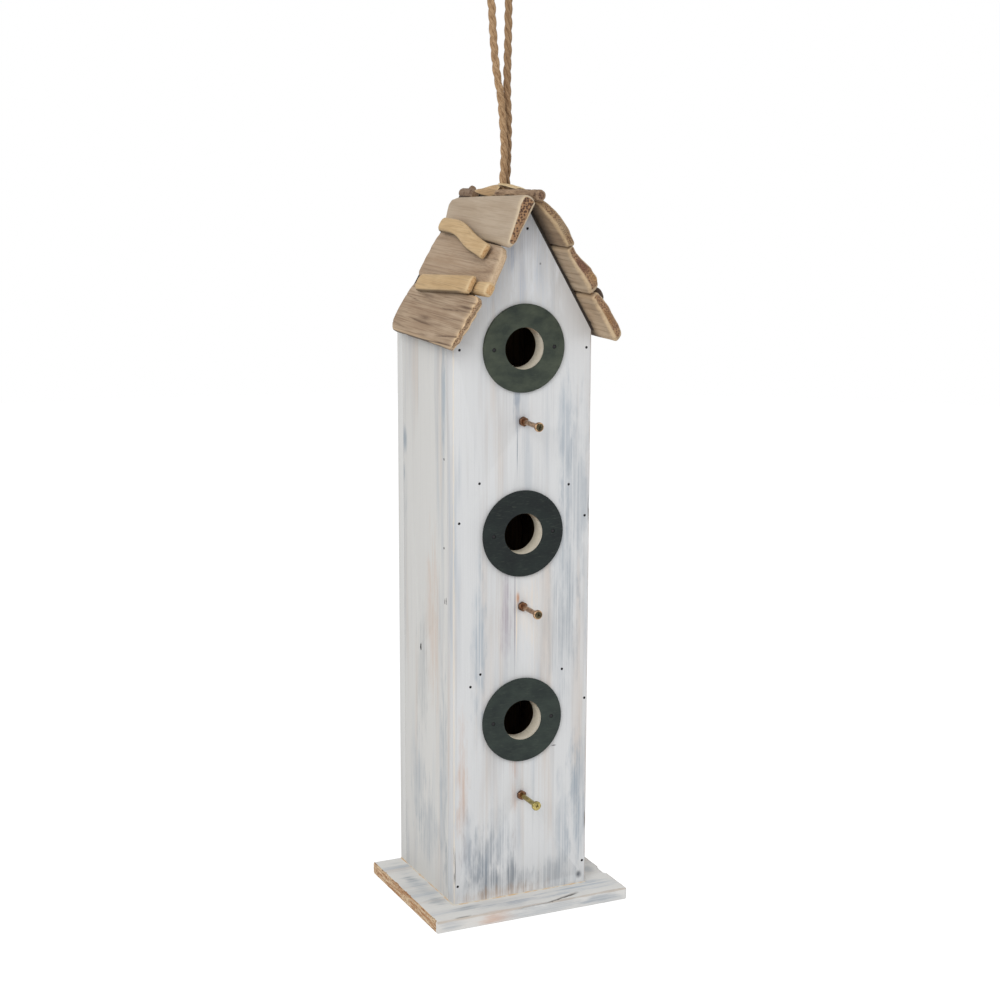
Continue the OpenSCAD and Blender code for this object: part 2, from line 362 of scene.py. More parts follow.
def fibres(tree, across, along, grain, seed, detail=4.0):
    """Noise drawn out along the grain; across and along are its real sizes in millimetres."""
    scale = [1 / (across * MM)] * 3
    scale[grain] = 1 / (along * MM)
    laid = add(tree, "Mapping", {}, {
        "Vector": here(tree), "Location": (seed, seed * 0.7, seed * 1.3), "Scale": scale})
    return add(tree, "TexNoise", {}, {
        "Vector": laid.outputs[0], "Scale": 1.0, "Detail": detail, "Roughness": 0.6}).outputs[0]


def far_from(tree, centre, sizes):
    """The distance from a point, counted in a size along each axis. A size of 0 leaves its axis out."""
    scale = [1 / (size * MM) if size else 0 for size in sizes]
    spot = add(tree, "Mapping", {}, {
        "Vector": here(tree), "Location": [-c * MM * s for c, s in zip(centre, scale)], "Scale": scale})
    return add(tree, "VectorMath", {"operation": "LENGTH"}, {0: spot.outputs[0]}).outputs["Value"]


# --- materials -------------------------------------------------------------


def whitewashed_pine(name, wash, grain, seed, smudges=(), arrises=()):
    """White-wash brushed thinly on planed pine: chalky and matt, in broad soft bands with long fine
    lines of grain, grey-blue or pinkish where it lies thin. A smudge is its centre, its reach along
    each axis, its colour and its share, and True where it is one solid stroke; a few smudges paint
    light and shade. An arris is the line along which the wash is rubbed off, its width and its
    colour, which can also be a painted highlight."""
    made, tree = start(name)
    broad = fibres(tree, 17, 240, grain, seed, 3.0)
    hue = fibres(tree, 15, 260, grain, seed + 2, 2.0)
    streak = fibres(tree, 2.2, 210, grain, seed + 5)
    fine = fibres(tree, 0.9, 130, grain, seed + 9, 3.0)
    torn = fibres(tree, 5, 22, grain, seed + 3)
    under = mix(tree, ramp(tree, hue, 0.42, 0.6), "#a3adb8", "#cabbae")
    laid_on = times_plus(tree, streak, 0.24, times_plus(tree, fine, 0.14, broad))
    shown = mix(tree, ramp(tree, laid_on, 0.67, 0.92, 0.6), wash, under)
    shown = mix(tree, ramp(tree, fine, 0.5, 0.74, 0.12), shown, "#a6a7a7")
    brushed = ramp(tree, sums(tree, "ADD", streak, fine), 0.72, 1.12)
    # Some smudges paint light and shade: the near-white wash on the gable, and the shadow and highlight
    # along the seam.
    for centre, sizes, code, share, *solid in smudges:
        far = far_from(tree, centre, sizes)
        if solid:
            worn_and_lit = ramp(tree, times_plus(tree, torn, 0.4, far), 1.2, 0.35, share, soft=True)
        else:
            near = ramp(tree, times_plus(tree, torn, 1.9, far), 1.95, 1.0, share, soft=True)
            worn_and_lit = sums(tree, "MULTIPLY", near, brushed)
        shown = mix(tree, worn_and_lit, shown, code)
    # An arris colour can also paint a highlight, as the cream on the front's left arris does.
    for line_at, width, code in arrises:
        far = far_from(tree, [c or 0 for c in line_at], [0 if c is None else width for c in line_at])
        ragged = times_plus(tree, fibres(tree, 4, 16, grain, seed + 3, 3.0), 1.6, far)
        shown = mix(tree, ramp(tree, ragged, 1.75, 1.3, 0.6), shown, code)
    shown = mix(tree, marked(tree, "groove"), shown, "#3a342f")
    gloss = ramp(tree, fine, 0.0, 1.0, 0.78, 0.62)
    return surface(made, shown, gloss, bump(tree, 0.4, 0.25, times_plus(tree, streak, 1.6, fine)))


def bare_pine(name, seed):
    """Sawn pine left raw and darkened with age: warm, fibrous and dull."""
    made, tree = start(name)
    grain = fibres(tree, 2.4, 90, 2, seed, 5.0)
    colour = mix(tree, ramp(tree, grain, 0.35, 0.68), "#7c6247", "#503c2a")
    return surface(made, colour, 0.85, bump(tree, 0.6, 0.3, grain))


def raw_end(name, seed):
    """The end of a pine board left rough: cream and rusty brown layers, speckled where fibres broke."""
    made, tree = start(name)
    layers = fibres(tree, 1.6, 14, 1, seed)
    specks = fibres(tree, 1.1, 2.2, 1, seed + 4, 3.0)
    colour = mix(tree, ramp(tree, layers, 0.4, 0.6), "#dcc3a0", "#a9794f")
    torn = mix(tree, ramp(tree, specks, 0.52, 0.66, 0.85), colour, "#6b452a")
    return surface(made, torn, 0.85, bump(tree, 0.9, 0.5, specks))


def cream_bore(name):
    """The bored edge of an entrance under one coat of cream paint: pale, with the end fibres raised.
    It turns brown at the top of the bore, where its wall faces down."""
    made, tree = start(name)
    rough = fibres(tree, 1.4, 3, 1, 4.0)
    colour = mix(tree, rough, "#e6e0d2", "#c9bea8")
    # Brown towards the top of the bore, where its wall faces down.
    darker_facing_down = ramp(tree, times_plus(tree, rough, -0.8, facing_up(tree)), -0.8, -1.2, 0.8)
    return surface(made, mix(tree, darker_facing_down, colour, "#8a6f52"), 0.8, bump(tree, 0.7, 0.3, rough))


def dark_green_paint(name, dark, light, seed):
    """Thin dark green paint on fibreboard: nearly black, matt and cloudy, with the fibres showing."""
    made, tree = start(name)
    cloudy = fibres(tree, 14, 22, 0, seed)
    specks = fibres(tree, 0.8, 6, 0, seed + 4, 3.0)
    colour = mix(tree, ramp(tree, cloudy, 0.35, 0.68), dark, light)
    flecked = mix(tree, ramp(tree, specks, 0.56, 0.8, 0.5), colour, "#4d544b")
    return surface(made, flecked, 0.7, bump(tree, 0.5, 0.2, specks), Specular_IOR_Level=0.3)


def yellow_zinc(name, bright, dull, rough):
    """Yellow passivated zinc on steel: a low brassy gloss with brown and olive bloom."""
    made, tree = start(name)
    bloom = fibres(tree, 1.6, 4, 1, 3.0)
    colour = mix(tree, ramp(tree, bloom, 0.35, 0.7), bright, dull)
    return surface(made, colour, ramp(tree, bloom, 0.0, 1.0, rough + 0.12, rough - 0.08), Metallic=1.0)


def rusted_steel(name, code):
    """The head of a small steel pin, blackened and a little rusty."""
    made, tree = start(name)
    crust = fibres(tree, 0.5, 0.7, 0, 8.0)
    colour = mix(tree, crust, code, "#1c1a1b")
    return surface(made, colour, 0.7, bump(tree, 0.6, 0.1, crust), Metallic=0.4)


def driftwood(name, pale, dark, seed, ends, lit_worn_rim, streak, knots=(), cell=1.5, rubbed_and_lit=1.0, shade_to=-42):
    """Sea-worn softwood: silky and bleached on its faces, dark in its open grain, lighter on its
    arrises with rubbed wear and a painted highlight, with porous end grain. ends are the end grain's
    dark and light colours and cell the width of its pores; streak is how strongly the face is lined.
    A knot is its centre, its reach and its two colours. Painted shade darkens the underside up to
    shade_to, where it meets the gable."""
    made, tree = start(name)
    long_grain = fibres(tree, 2.6, 160, 1, seed)
    blotch = fibres(tree, 12, 45, 1, seed + 4, 3.0)
    fine = fibres(tree, 0.8, 70, 1, seed + 8, 3.0)
    face = mix(tree, ramp(tree, long_grain, 0.4, 0.66, 0.6 * streak), pale, dark)
    face = mix(tree, ramp(tree, blotch, 0.4, 0.68, 0.45), face, dark)
    face = mix(tree, ramp(tree, fine, 0.48, 0.66, 0.7 * streak), face, "#6a5039")
    # lit_worn_rim lightens the arrises: rubbed wear and a painted highlight.
    face = mix(tree, ramp(tree, marked(tree, "arris"), 0.0, 1 / rubbed_and_lit), face, lit_worn_rim)
    face = mix(tree, marked(tree, "groove"), face, "#5b4431")
    # Painted shade: the underside darkens where it passes over the gable and under the roof.
    near_gable = ramp(tree, part_of(tree, here(tree), 1), (shade_to - 18) * MM, shade_to * MM, soft=True)
    below = ramp(tree, facing_up(tree), -0.15, -0.45, 0.75)
    face = mix(tree, sums(tree, "MULTIPLY", near_gable, below), face, "#2f241b")
    cells = add(tree, "TexVoronoi", {}, {
        "Vector": here(tree), "Scale": 1 / (cell * MM), "Randomness": 0.6})
    pith = ramp(tree, cells.outputs["Distance"], 0.2, 0.6)
    layer = sums(tree, "PINGPONG", times_plus(tree, blotch, 1.1, long_grain), 0.045)
    porous = mix(tree, ramp(tree, times_plus(tree, layer, 11.0, pith), 0.6, 1.3), *ends)
    for centre, reach, deep, light in knots:
        wavy = times_plus(tree, blotch, 0.5, far_from(tree, centre, [reach] * 3))
        ring = 0.7 / reach
        swirl = mix(tree, ramp(tree, sums(tree, "PINGPONG", wavy, ring), 0.0, ring), deep, light)
        porous = mix(tree, ramp(tree, wavy, 1.25, 0.75, 0.85), porous, swirl)
    shown = ramp(tree, times_plus(tree, blotch, 0.8, marked(tree, "cut_end")), 0.6, 1.25)
    return surface(made, mix(tree, shown, face, porous), 0.78,
                   bump(tree, 0.6, 0.35, times_plus(tree, shown, pith, fine)))


def dark_ply(name):
    """Thin plywood, nearly black: flat, faintly streaked. Its black edge between the gable and the
    boards is also painted shade.
    """
    made, tree = start(name)
    grain = fibres(tree, 1.8, 60, 1, 1.0)
    return surface(made, mix(tree, grain, "#1d1916", "#3d332b"), 0.8, bump(tree, 0.4, 0.2, grain))


def jute(name, laid):
    """Jute spun into yarns: dull gold-brown and hairy, with darker fibres, which wind round each
    strand where it is laid. The leg that hangs on the right is darkened as painted shade."""
    made, tree = start(name)
    where = add(tree, "UVMap").outputs[0] if laid else here(tree)
    # Fibres 0.05 mm wide are drawn at about 0.5 mm, the finest that shows.
    scale = (16, 300, 1) if laid else (900, 900, 300)
    wound = add(tree, "Mapping", {}, {
        "Vector": where, "Rotation": (0, 0, 24 * DEG), "Scale": scale}).outputs[0]
    yarn = add(tree, "TexNoise", {}, {"Vector": wound, "Scale": 1.0, "Detail": 4.0}).outputs[0]
    colour = mix(tree, ramp(tree, yarn, 0.35, 0.68), "#cbaa83", "#7d5c3c")
    aged = mix(tree, ramp(tree, fibres(tree, 8, 20, 2, 5.0, 2.0), 0.4, 0.7, 0.45), colour, "#8a6b4c")
    # Painted shade: the right leg, on the side away from the key light, is darkened.
    shaded_leg = ramp(tree, part_of(tree, here(tree), 0), -3 * MM, 2 * MM, 0.45)
    return surface(made, mix(tree, shaded_leg, aged, "#7b5e43"), 0.9, bump(tree, 0.8, 0.3, yarn))


def dried_glue(name):
    """Wood glue squeezed out at the foot of the walls and dried: honey-coloured and a little shiny."""
    made, tree = start(name)
    patchy = fibres(tree, 7, 7, 2, 3.0)
    return surface(made, mix(tree, ramp(tree, patchy, 0.42, 0.6), "#d6d1c6", "#cfb28c"), 0.5)


# --- camera, floor and light -----------------------------------------------


def turned_to(aim, at):
    """The turn that makes a camera or lamp look from at to aim."""
    return (Vector(aim) - Vector(at)).to_track_quat("-Z", "Y")


def set_up_camera():
    at, aim = Vector(CAMERA_AT) * MM, Vector(CAMERA_AIM) * MM
    bpy.ops.object.camera_add(location=at)
    camera = bpy.context.object
    camera.rotation_mode = "QUATERNION"
    camera.rotation_quaternion = turned_to(aim, at) @ Quaternion((0, 0, 1), CAMERA_ROLL * DEG)
    camera.data.lens = LENS
    camera.data.sensor_width = SENSOR
    camera.data.clip_end = 50
    bpy.context.scene.camera = camera


def seen_directly(tree):
    """The path node, and 1 for rays from the camera and from glossy reflections, else 0."""
    path = add(tree, "LightPath")
    return path, sums(tree, "MAXIMUM", path.outputs["Is Camera Ray"], path.outputs["Is Glossy Ray"])


def set_up_floor():
    """A pale floor well below the hanging house. It lights up a little to the camera, so that it
    meets the white backdrop, and keeps its shadow."""
    bpy.ops.mesh.primitive_circle_add(vertices=96, radius=7, fill_type="NGON", location=(0, 0, -0.7))
    floor = named("floor")
    material, tree = start("matt white floor paint")
    glow = sums(tree, "MULTIPLY", seen_directly(tree)[1], 0.5)
    top_up = add(tree, "Emission", {}, {"Color": "#ffffff", "Strength": glow})
    paint = add(tree, "BsdfDiffuse", {}, {"Color": "#f0f0f0"})
    both = add(tree, "AddShader", {}, {0: paint.outputs[0], 1: top_up.outputs[0]})
    add(tree, "OutputMaterial", {}, {"Surface": both.outputs[0]})
    coat(floor, material)


def softbox(name, at, aim, size, power):
    bpy.ops.object.light_add(type="AREA", location=at)
    lamp = bpy.context.object
    lamp.name = name
    lamp.data.shape = "RECTANGLE"
    lamp.data.size, lamp.data.size_y = size
    lamp.data.energy = power
    lamp.rotation_mode = "QUATERNION"
    lamp.rotation_quaternion = turned_to(aim, at)


def set_up_light():
    """A white backdrop to the eye that lights the house less than it shows, and two softboxes."""
    world = bpy.data.worlds.new("studio")
    bpy.context.scene.world = world
    world.use_nodes = True
    tree = world.node_tree
    tree.nodes.clear()
    path, seen = seen_directly(tree)
    clear = sums(tree, "MAXIMUM", seen, path.outputs["Is Transmission Ray"])
    room = add(tree, "Background", {}, {"Color": "#ffffff", "Strength": 0.62})
    white = add(tree, "Background", {}, {"Color": "#ffffff", "Strength": 1.0})
    either = add(tree, "MixShader", {}, {0: clear, 1: room.outputs[0], 2: white.outputs[0]})
    add(tree, "OutputWorld", {}, {"Surface": either.outputs[0]})
    softbox("key softbox", (-1.8, -1.75, 1.7), (0, 0, 0.3), (1.6, 1.6), 34)
    softbox("fill softbox", (1.8, -1.2, 0.9), (0, 0, 0.3), (1.2, 1.6), 5)
    bpy.context.scene.view_settings.view_transform = "Standard"


set_up_camera()
set_up_floor()
set_up_light()


# --- box -------------------------------------------------------------------

SAWN_ARRIS = 0.25
NAIL_PIT, NAIL_HEAD = 2.2, 1.9
INWARD = (0, 1, 0)


def lop(piece, side):
    """Cuts a piece off above the slope that starts at the eave of one side."""
    edit(piece)
    bpy.ops.mesh.bisect(
        plane_co=Vector((side * HALF_W, 0, EAVE_Z)) * MM,
        plane_no=(side * math.sin(PITCH * DEG), 0, math.cos(PITCH * DEG)),
        use_fill=True, clear_outer=True)
    leave()


def gable(name, y_from, y_to, outer_y):
    """A pine board cut to the shape of the gable, with its upright outer arrises rubbed."""
    piece = block(name, (-HALF_W, y_from, BASE_T), (HALF_W, y_to, APEX_Z))
    lop(piece, -1)
    lop(piece, 1)
    rub(piece, 0.9, lambda at, way: abs(way.z) > 0.9 and abs(at.y - outer_y) < 1)
    return piece


def pits(spots, depth, wide):
    """One tool that drills small pits. Each spot is its middle on the surface and its way in."""
    drills = []
    for i, (at, way) in enumerate(spots):
        turn = Vector(way).to_track_quat("Z", "Y").to_euler()
        drills.append(bar(f"drill_{i}", 20, wide / 2 * MM, 2 * depth * MM, Vector(at) * MM, turn))
    return join("drills", drills)


def bites(spots, seed):
    """One tool that takes small ragged bites. Each spot is its middle and its half sizes."""
    teeth = []
    for i, (at, size) in enumerate(spots):
        bpy.ops.mesh.primitive_ico_sphere_add(subdivisions=3, radius=1)
        tooth = named(f"tooth_{i}")
        for point in tooth.data.vertices:
            rough = 1 + 0.5 * noise.noise(point.co * 1.7 + Vector((seed, i * 3.1, 0)))
            point.co = (Vector(at) + Vector(a * b for a, b in zip(point.co * rough, size))) * MM
        teeth.append(tooth)
    return join("teeth", teeth)


def pin_heads(name, spots, depth, wide, material):
    """Small domed pin heads sunk below the surface, one modelled and the rest copied."""
    bpy.ops.mesh.primitive_uv_sphere_add(segments=16, ring_count=8, radius=wide / 2 * MM)
    first = named(name + "_first")
    edit(first, "VERT")
    bpy.ops.transform.resize(value=(1, 1, 0.35))
    leave()
    heads = []
    for i, (at, way) in enumerate(spots):
        head = copy_of(first, f"{name}_{i}")
        turn = Vector(way).to_track_quat("Z", "Y").to_matrix().to_4x4()
        head.matrix_world = Matrix.Translation((Vector(at) + Vector(way) * depth) * MM) @ turn
        settle(head)
        heads.append(head)
    bpy.data.objects.remove(first)
    made = join(name, heads)
    smooth(made, 60)
    return done(made, material, "zinc_hardware")


FRONT_NAILS = [((x, FRONT_Y, z), INWARD) for x, z in (
    (3.1, 557.4), (-54.5, 465.9), (55.6, 462.0), (-37.4, 359.4), (41, 352.4), (-36.5, 203.3),
    (36.5, 199), (-45.2, 193.9), (55.7, 325.6), (57.4, 171.7), (57, 29.7), (-54.9, 328.8),
    (-56.6, 25.7))]
LEFT_NAILS = [((-HALF_W, -26.2, 377.5), (1, 0, 0)), ((-HALF_W, -25.7, 305.6), (1, 0, 0))]

front_smudges = [((x, 0, z), (wide, 0, high), *rest) for x, z, wide, high, *rest in (
    (-34, 34, 20, 22, "#7b8591", 0.85),
    (-8, 30, 9, 20, "#787f88", 0.85),
    (-20, 60, 22, 34, "#9fa6ae", 0.6),
    (52, 85, 11, 80, "#94a1ad", 0.85),
    (38, 60, 10, 60, "#a6afb8", 0.6),
    (-6, 125, 6, 80, "#c39a80", 0.5),
    (-52, 110, 7, 70, "#c8a48c", 0.6),
    (-48, 60, 8, 50, "#a3aab3", 0.6),
    (-37, 225, 9, 90, "#9aa9b6", 0.7),
    (9, 250, 13, 60, "#e6ddd3", 0.8),
    (41, 270, 14, 80, "#a0aab3", 0.65),
    (-14, 245, 7, 55, "#9e8f9c", 0.6),
    (-3.8, 263, 2.4, 7, "#c07f4e", 0.8, True),
    # Along the seam between the two glued boards: a purple-grey painted shadow on its left and a cream
    # painted highlight on its raised edge; the grey line higher up is the joint itself.
    (-6.2, 248, 0.8, 62, "#8f8591", 0.75, True),
    (-4.6, 245, 0.9, 44, "#efe2d2", 0.95, True),
    (-4.7, 385, 0.6, 30, "#77828f", 0.8, True),
    (-5, 422, 4, 34, "#7f8fa2", 0.85),
    (38, 395, 11, 70, "#a0acb8", 0.6),
    (-5, 558, 26, 30, "#9aa3b4", 0.55),
    (-25, 520, 12, 44, "#a8b1bd", 0.4),
    (36, 228, 26, 70, "#aaafb4", 0.55),
    # Painted light: a broad near-white wash lightens the gable where the roof's shadow falls.
    (0, 545, 80, 60, "#eef2f8", 0.9),
    (-12, 540, 6, 26, "#8f9bb0", 0.55),
    (-1, 519, 5, 30, "#98a3b6", 0.55),
    (15, 526, 8, 32, "#a1abb8", 0.5),
    (48, 340, 18, 100, "#abb2b9", 0.7),
    (-20, 24, 44, 16, "#858b92", 0.7),
    (30, 22, 26, 22, "#959ba2", 0.65),
    (-30, 48, 24, 30, "#90979f", 0.6),
    (-20, 14, 50, 9, "#b39272", 0.5),
    (29.6, 134.6, 3.2, 0.8, "#4b4a4c", 0.9, True),
    (14.4, 529.8, 1.2, 1.4, "#6b6d72", 0.9, True),
    (54, 17.9, 3.6, 5, "#5b6068", 0.85, True),
    (-58.7, 40, 0.7, 26, "#57524f", 0.75, True),
    (58.9, 66, 0.8, 12, "#5b5856", 0.8, True),
    (58.9, 330, 0.8, 14, "#6d6d6f", 0.8, True),
)]
left_smudges = [((0, y, z), (0, wide, high), *rest) for y, z, wide, high, *rest in (
    (-24, 430, 8, 60, "#94a2af", 0.75),
    (55, 380, 7, 16, "#8b99a5", 0.75, True),
    (58, 352, 5, 10, "#94a0aa", 0.6, True),
    (60, 330, 12, 70, "#a3aab0", 0.5),
    (62, 235, 6, 22, "#97a1aa", 0.6, True),
    (-2, 240, 20, 90, "#cdb5a3", 0.55),
    (-24, 120, 9, 120, "#98a2ab", 0.7),
    (30, 90, 20, 60, "#a3abb2", 0.65),
    (8, 60, 30, 44, "#a2a9b0", 0.65),
    (20, 190, 16, 70, "#a7abad", 0.6),
    (-33, 36, 10, 42, "#7f8992", 0.8),
    (60, 40, 9, 50, "#9a9fa4", 0.6),
    (-43.2, 46, 0.7, 24, "#56504c", 0.75, True),
    (69, 105, 0.9, 46, "#6b6765", 0.7, True),
)]
base_smudges = [
    ((-35, -70, 5), (22, 6, 9), "#cfa58b", 0.8),
    ((-10, -58, 10), (50, 7, 4), "#8593a6", 0.8),
    ((55, -52, 10), (40, 12, 4), "#9aa8b7", 0.7),
    ((-70, 10, 10), (10, 60, 4), "#a3adb6", 0.6),
    ((10, -70, 5), (60, 3, 8), "#a0a9b2", 0.6),
    ((62, -70, 5), (24, 4, 7), "#99a2ac", 0.75),
    ((-72, -70, 5), (14, 4, 7), "#a3abb3", 0.6),
    ((-68, -30, 10), (12, 9, 3), "#8b939b", 0.85),
    ((-52, -53, 10), (17, 6, 3), "#8d959d", 0.8),
    ((-71, 22, 10), (9, 9, 3), "#959ca2", 0.75),
    ((74, -20, 10), (8, 12, 3), "#a5abb0", 0.6, True),
]
# LIT_CREAM_EDGE: wash rubbed off the left front arris, and a painted highlight there.
LIT_CREAM_EDGE = "#e2d8c8"
front_coat = whitewashed_pine("whitewash on pine front", "#dadbdc", 2, 2.0, front_smudges, [
    ((-HALF_W, FRONT_Y, None), 1.4, LIT_CREAM_EDGE), ((HALF_W, FRONT_Y, None), 1.0, "#b7a79a")])
left_coat = whitewashed_pine("whitewash on pine left", "#d8d7d4", 2, 13.0, left_smudges)
right_coat = whitewashed_pine("whitewash on pine right", "#d8d8d6", 2, 24.0, [
    ((0, 20, 300), (0, 18, 120), "#93a1b1", 0.8), ((0, -20, 120), (0, 12, 90), "#c9b4a4", 0.6)])
back_coat = whitewashed_pine("whitewash on pine back", "#d8d8d6", 2, 35.0, [
    ((-20, 0, 200), (18, 0, 120), "#93a1b1", 0.8), ((30, 0, 380), (14, 0, 90), "#c9b4a4", 0.6)])
base_coat = whitewashed_pine("whitewash on pine base", "#dfdedb", 0, 46.0, base_smudges, [
    ((None, -BASE_D / 2, BASE_T), 1.6, "#b9ab9c"), ((BASE_W / 2, None, BASE_T), 1.6, "#a99684")])
raw_pine = bare_pine("sawn pine", 3.0)
bore_paint = cream_bore("cream paint in a bore")
black_pin = rusted_steel("blackened steel pin", "#2b2a2e")


def front_bores(diameter, depth, heights, sides):
    return [rod("bore", diameter, FRONT_Y - 1, FRONT_Y + depth, 0, z, sides) for z in heights.values()]


def from_entrance(spot):
    """How far a point lies from the axis of the nearest entrance."""
    return min(math.hypot(spot.x, spot.z - z) for z in ENTRANCE_Z.values())


def front_finish(face, spot):
    """0 for the washed face, 1 for a bore, 2 for the inside and 3 for a nail's pit."""
    if face.normal.y > 0.9:
        return 2
    if from_entrance(spot) < ENTRANCE_D / 2 + 0.3 and abs(face.normal.y) < 0.9:
        return 1
    sunk = spot.y > FRONT_Y + 0.05
    return 3 * any(sunk and (spot - Vector(at)).length < 1.3 for at, _ in FRONT_NAILS)


front_wall = gable("front_board", FRONT_Y, FRONT_Y + WALL_T, FRONT_Y)
cut(front_wall, *front_bores(ENTRANCE_D, WALL_T + 1, ENTRANCE_Z, 96),
    *front_bores(SCREW_D + 0.1, SCREW_BITE, PERCH_Z, 24))
ease(front_wall, SAWN_ARRIS, 2)
cut(front_wall, pits(FRONT_NAILS, 0.9, NAIL_PIT), bites([
    ((-59.6, -43.6, 52), (0.7, 0.8, 7)), ((-59.4, -43.8, 33), (0.6, 0.7, 5)),
    ((-59.8, -42.6, 20), (0.5, 0.6, 8)), ((59.8, -43.7, 336), (0.9, 0.8, 7)),
    ((59.7, -43.8, 322), (0.7, 0.6, 4)), ((54, -44.1, 17.9), (1.5, 0.8, 2.6)),
    ((59.8, -43.8, 72), (0.6, 0.7, 5))], 4.0))
smooth(front_wall, FOLD)
coat(front_wall, front_coat, bore_paint, raw_pine, black_pin, choose=front_finish)
done(front_wall, None, "whitewashed_pine", "front_wall")
pin_heads("front_nail_heads", FRONT_NAILS, 0.75, NAIL_HEAD, black_pin)

back_wall = gable("back_board", BACK_Y - WALL_T, BACK_Y, BACK_Y)
ease(back_wall, SAWN_ARRIS, 2)
smooth(back_wall, FOLD)
coat(back_wall, back_coat, raw_pine, choose=lambda face, spot: face.normal.y < -0.9)
done(back_wall, None, "whitewashed_pine", "back_wall")


def side_board(name, side, washed, nails, marks):
    """A side wall between the gables, its top cut to the slope, with nails and small knots."""
    rise = WALL_T * math.tan(PITCH * DEG)
    ends = sorted((side * (HALF_W - WALL_T), side * HALF_W))
    piece = block(name, (ends[0], FRONT_Y + WALL_T, BASE_T), (ends[1], BACK_Y - WALL_T, EAVE_Z + rise))
    lop(piece, side)
    ease(piece, SAWN_ARRIS, 2)
    if nails:
        cut(piece, pits(nails, 0.8, 2.0), bites(marks, 9.0))
    smooth(piece, FOLD)

    def finish(face, spot):
        sunk = abs(spot.x) < HALF_W - 0.05
        if any(sunk and (spot - Vector(at)).length < 6 for at, _ in nails + marks):
            return 2
        return face.normal.x * side < -0.9

    coat(piece, washed, raw_pine, black_pin, choose=finish)
    return done(piece, None, "whitewashed_pine", name.replace("board", "wall"))


side_board("left_board", -1, left_coat, LEFT_NAILS, [
    ((-60.2, 23.1, 211.6), (0.9, 1.5, 4.2)), ((-60.1, -29.8, 263), (0.4, 0.7, 3.6)),
    ((-60.1, -26.9, 262.2), (0.4, 0.6, 2.6))])
side_board("right_board", 1, right_coat, [], [])
pin_heads("left_nail_heads", LEFT_NAILS, 0.65, 1.8, black_pin)
for node in ("middle_floor", "upper_floor"):
    coat(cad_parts[node], raw_pine)
# The roof panels' near-black is partly painted shade for the gap under the boards.
near_black_ply = dark_ply("near-black plywood")
for node in ("left_roof_panel", "right_roof_panel"):
    coat(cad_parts[node], near_black_ply)


# --- entrance plates and perches -------------------------------------------

PLATE_FACE = FRONT_Y - PLATE_T
PLATE_NAILS = {"plate_pins_left": -26, "plate_pins_right": 26}
PLATE_TONES = {"lower": ("#1c2423", "#2f3833", 4.0), "middle": ("#0e1516", "#1b2422", 8.0),
               "upper": ("#2a322c", "#495043", 12.0)}
HEAD_Y = FRONT_Y - SCREW_REACH


def ring_plate():
    """A round plate with a round hole: both faces inset, then bridged through."""
    plate = rod("plate_first", PLATE_D, PLATE_FACE, FRONT_Y, 0, 0, 96)
    edit(plate, "FACE", lambda face: abs(face.normal.y) > 0.9)
    bpy.ops.mesh.inset(thickness=(PLATE_D - ENTRANCE_D) / 2 * MM)
    bpy.ops.mesh.bridge_edge_loops()
    leave()
    outward(plate)
    ease(plate, 0.4, 3)
    cut(plate, pits([((x, PLATE_FACE, 0), INWARD) for x in PLATE_NAILS.values()], 0.6, 3.4))
    smooth(plate, FOLD)
    return plate


def in_plate_bore(face, spot):
    return from_entrance(spot) < ENTRANCE_D / 2 + 0.15 and spot.y > PLATE_FACE + 0.2


first_plate = ring_plate()
for level, z in ENTRANCE_Z.items():
    plate = copy_of(first_plate, level + "_plate", (0, 0, z))
    coat(plate, dark_green_paint("dark green paint " + level, *PLATE_TONES[level]), bore_paint,
         choose=in_plate_bore)
    done(plate, None, "dark_plate", level + "_entrance_plate")
bpy.data.objects.remove(first_plate)
for name, x in PLATE_NAILS.items():
    pin_heads(name, [((x, PLATE_FACE, z), INWARD) for z in ENTRANCE_Z.values()], 0.55, 3.0, black_pin)


def perch_screw():
    """A pan-head screw: shank, stepped head with a cross recess."""
    shank = rod("shank", SCREW_D, HEAD_Y - 0.3, FRONT_Y + SCREW_BITE, 0, 0, 32)
    rub(shank, 0.5, lambda at, way: at.y > FRONT_Y + SCREW_BITE - 0.1)
    head = rod("head", HEAD_D, HEAD_Y - HEAD_T, HEAD_Y, 0, 0, 40)
    inset_faces(head, lambda face: face.normal.y < -0.9, 0.1 * HEAD_D * MM)
    rub(head, 0.75,
        lambda at, way: at.y < HEAD_Y - HEAD_T + 0.1 and math.hypot(at.x, at.z) > 0.45 * HEAD_D)
    rub(head, 0.3, lambda at, way: at.y > HEAD_Y - 0.1)
    slots = []
    for turn in (20, 110):
        bpy.ops.mesh.primitive_cube_add(
            size=1, location=Vector((0, HEAD_Y - HEAD_T, 0)) * MM, rotation=(0, turn * DEG, 0),
            scale=Vector((4.4, 2.4, 0.95)) * MM)
        slots.append(named("slot"))
        edit(slots[-1], "FACE", lambda face: face.normal.y > 0.9)
        bpy.ops.transform.resize(value=(0.45, 1, 0.45))
        leave()
    cut(head, *slots)
    made = join("screw_first", [head, shank])
    smooth(made, 30)
    return made


def perch_nut():
    """A hexagon nut with its corners turned off."""
    nut = rod("nut_first", NUT_AF / math.cos(30 * DEG), FRONT_Y - NUT_T, FRONT_Y, 0, 0, 6)
    turned = rod("turned", 1.12 * NUT_AF, FRONT_Y - NUT_T, FRONT_Y, 0, 0, 48)
    ease(turned, 0.6, 1, 60)
    combine(nut, "INTERSECT", turned)
    cut(nut, rod("thread_hole", SCREW_D, FRONT_Y - NUT_T - 1, FRONT_Y + 1, 0, 0, 32))
    ease(nut, 0.12, 2, 25)
    smooth(nut, 30)
    return nut


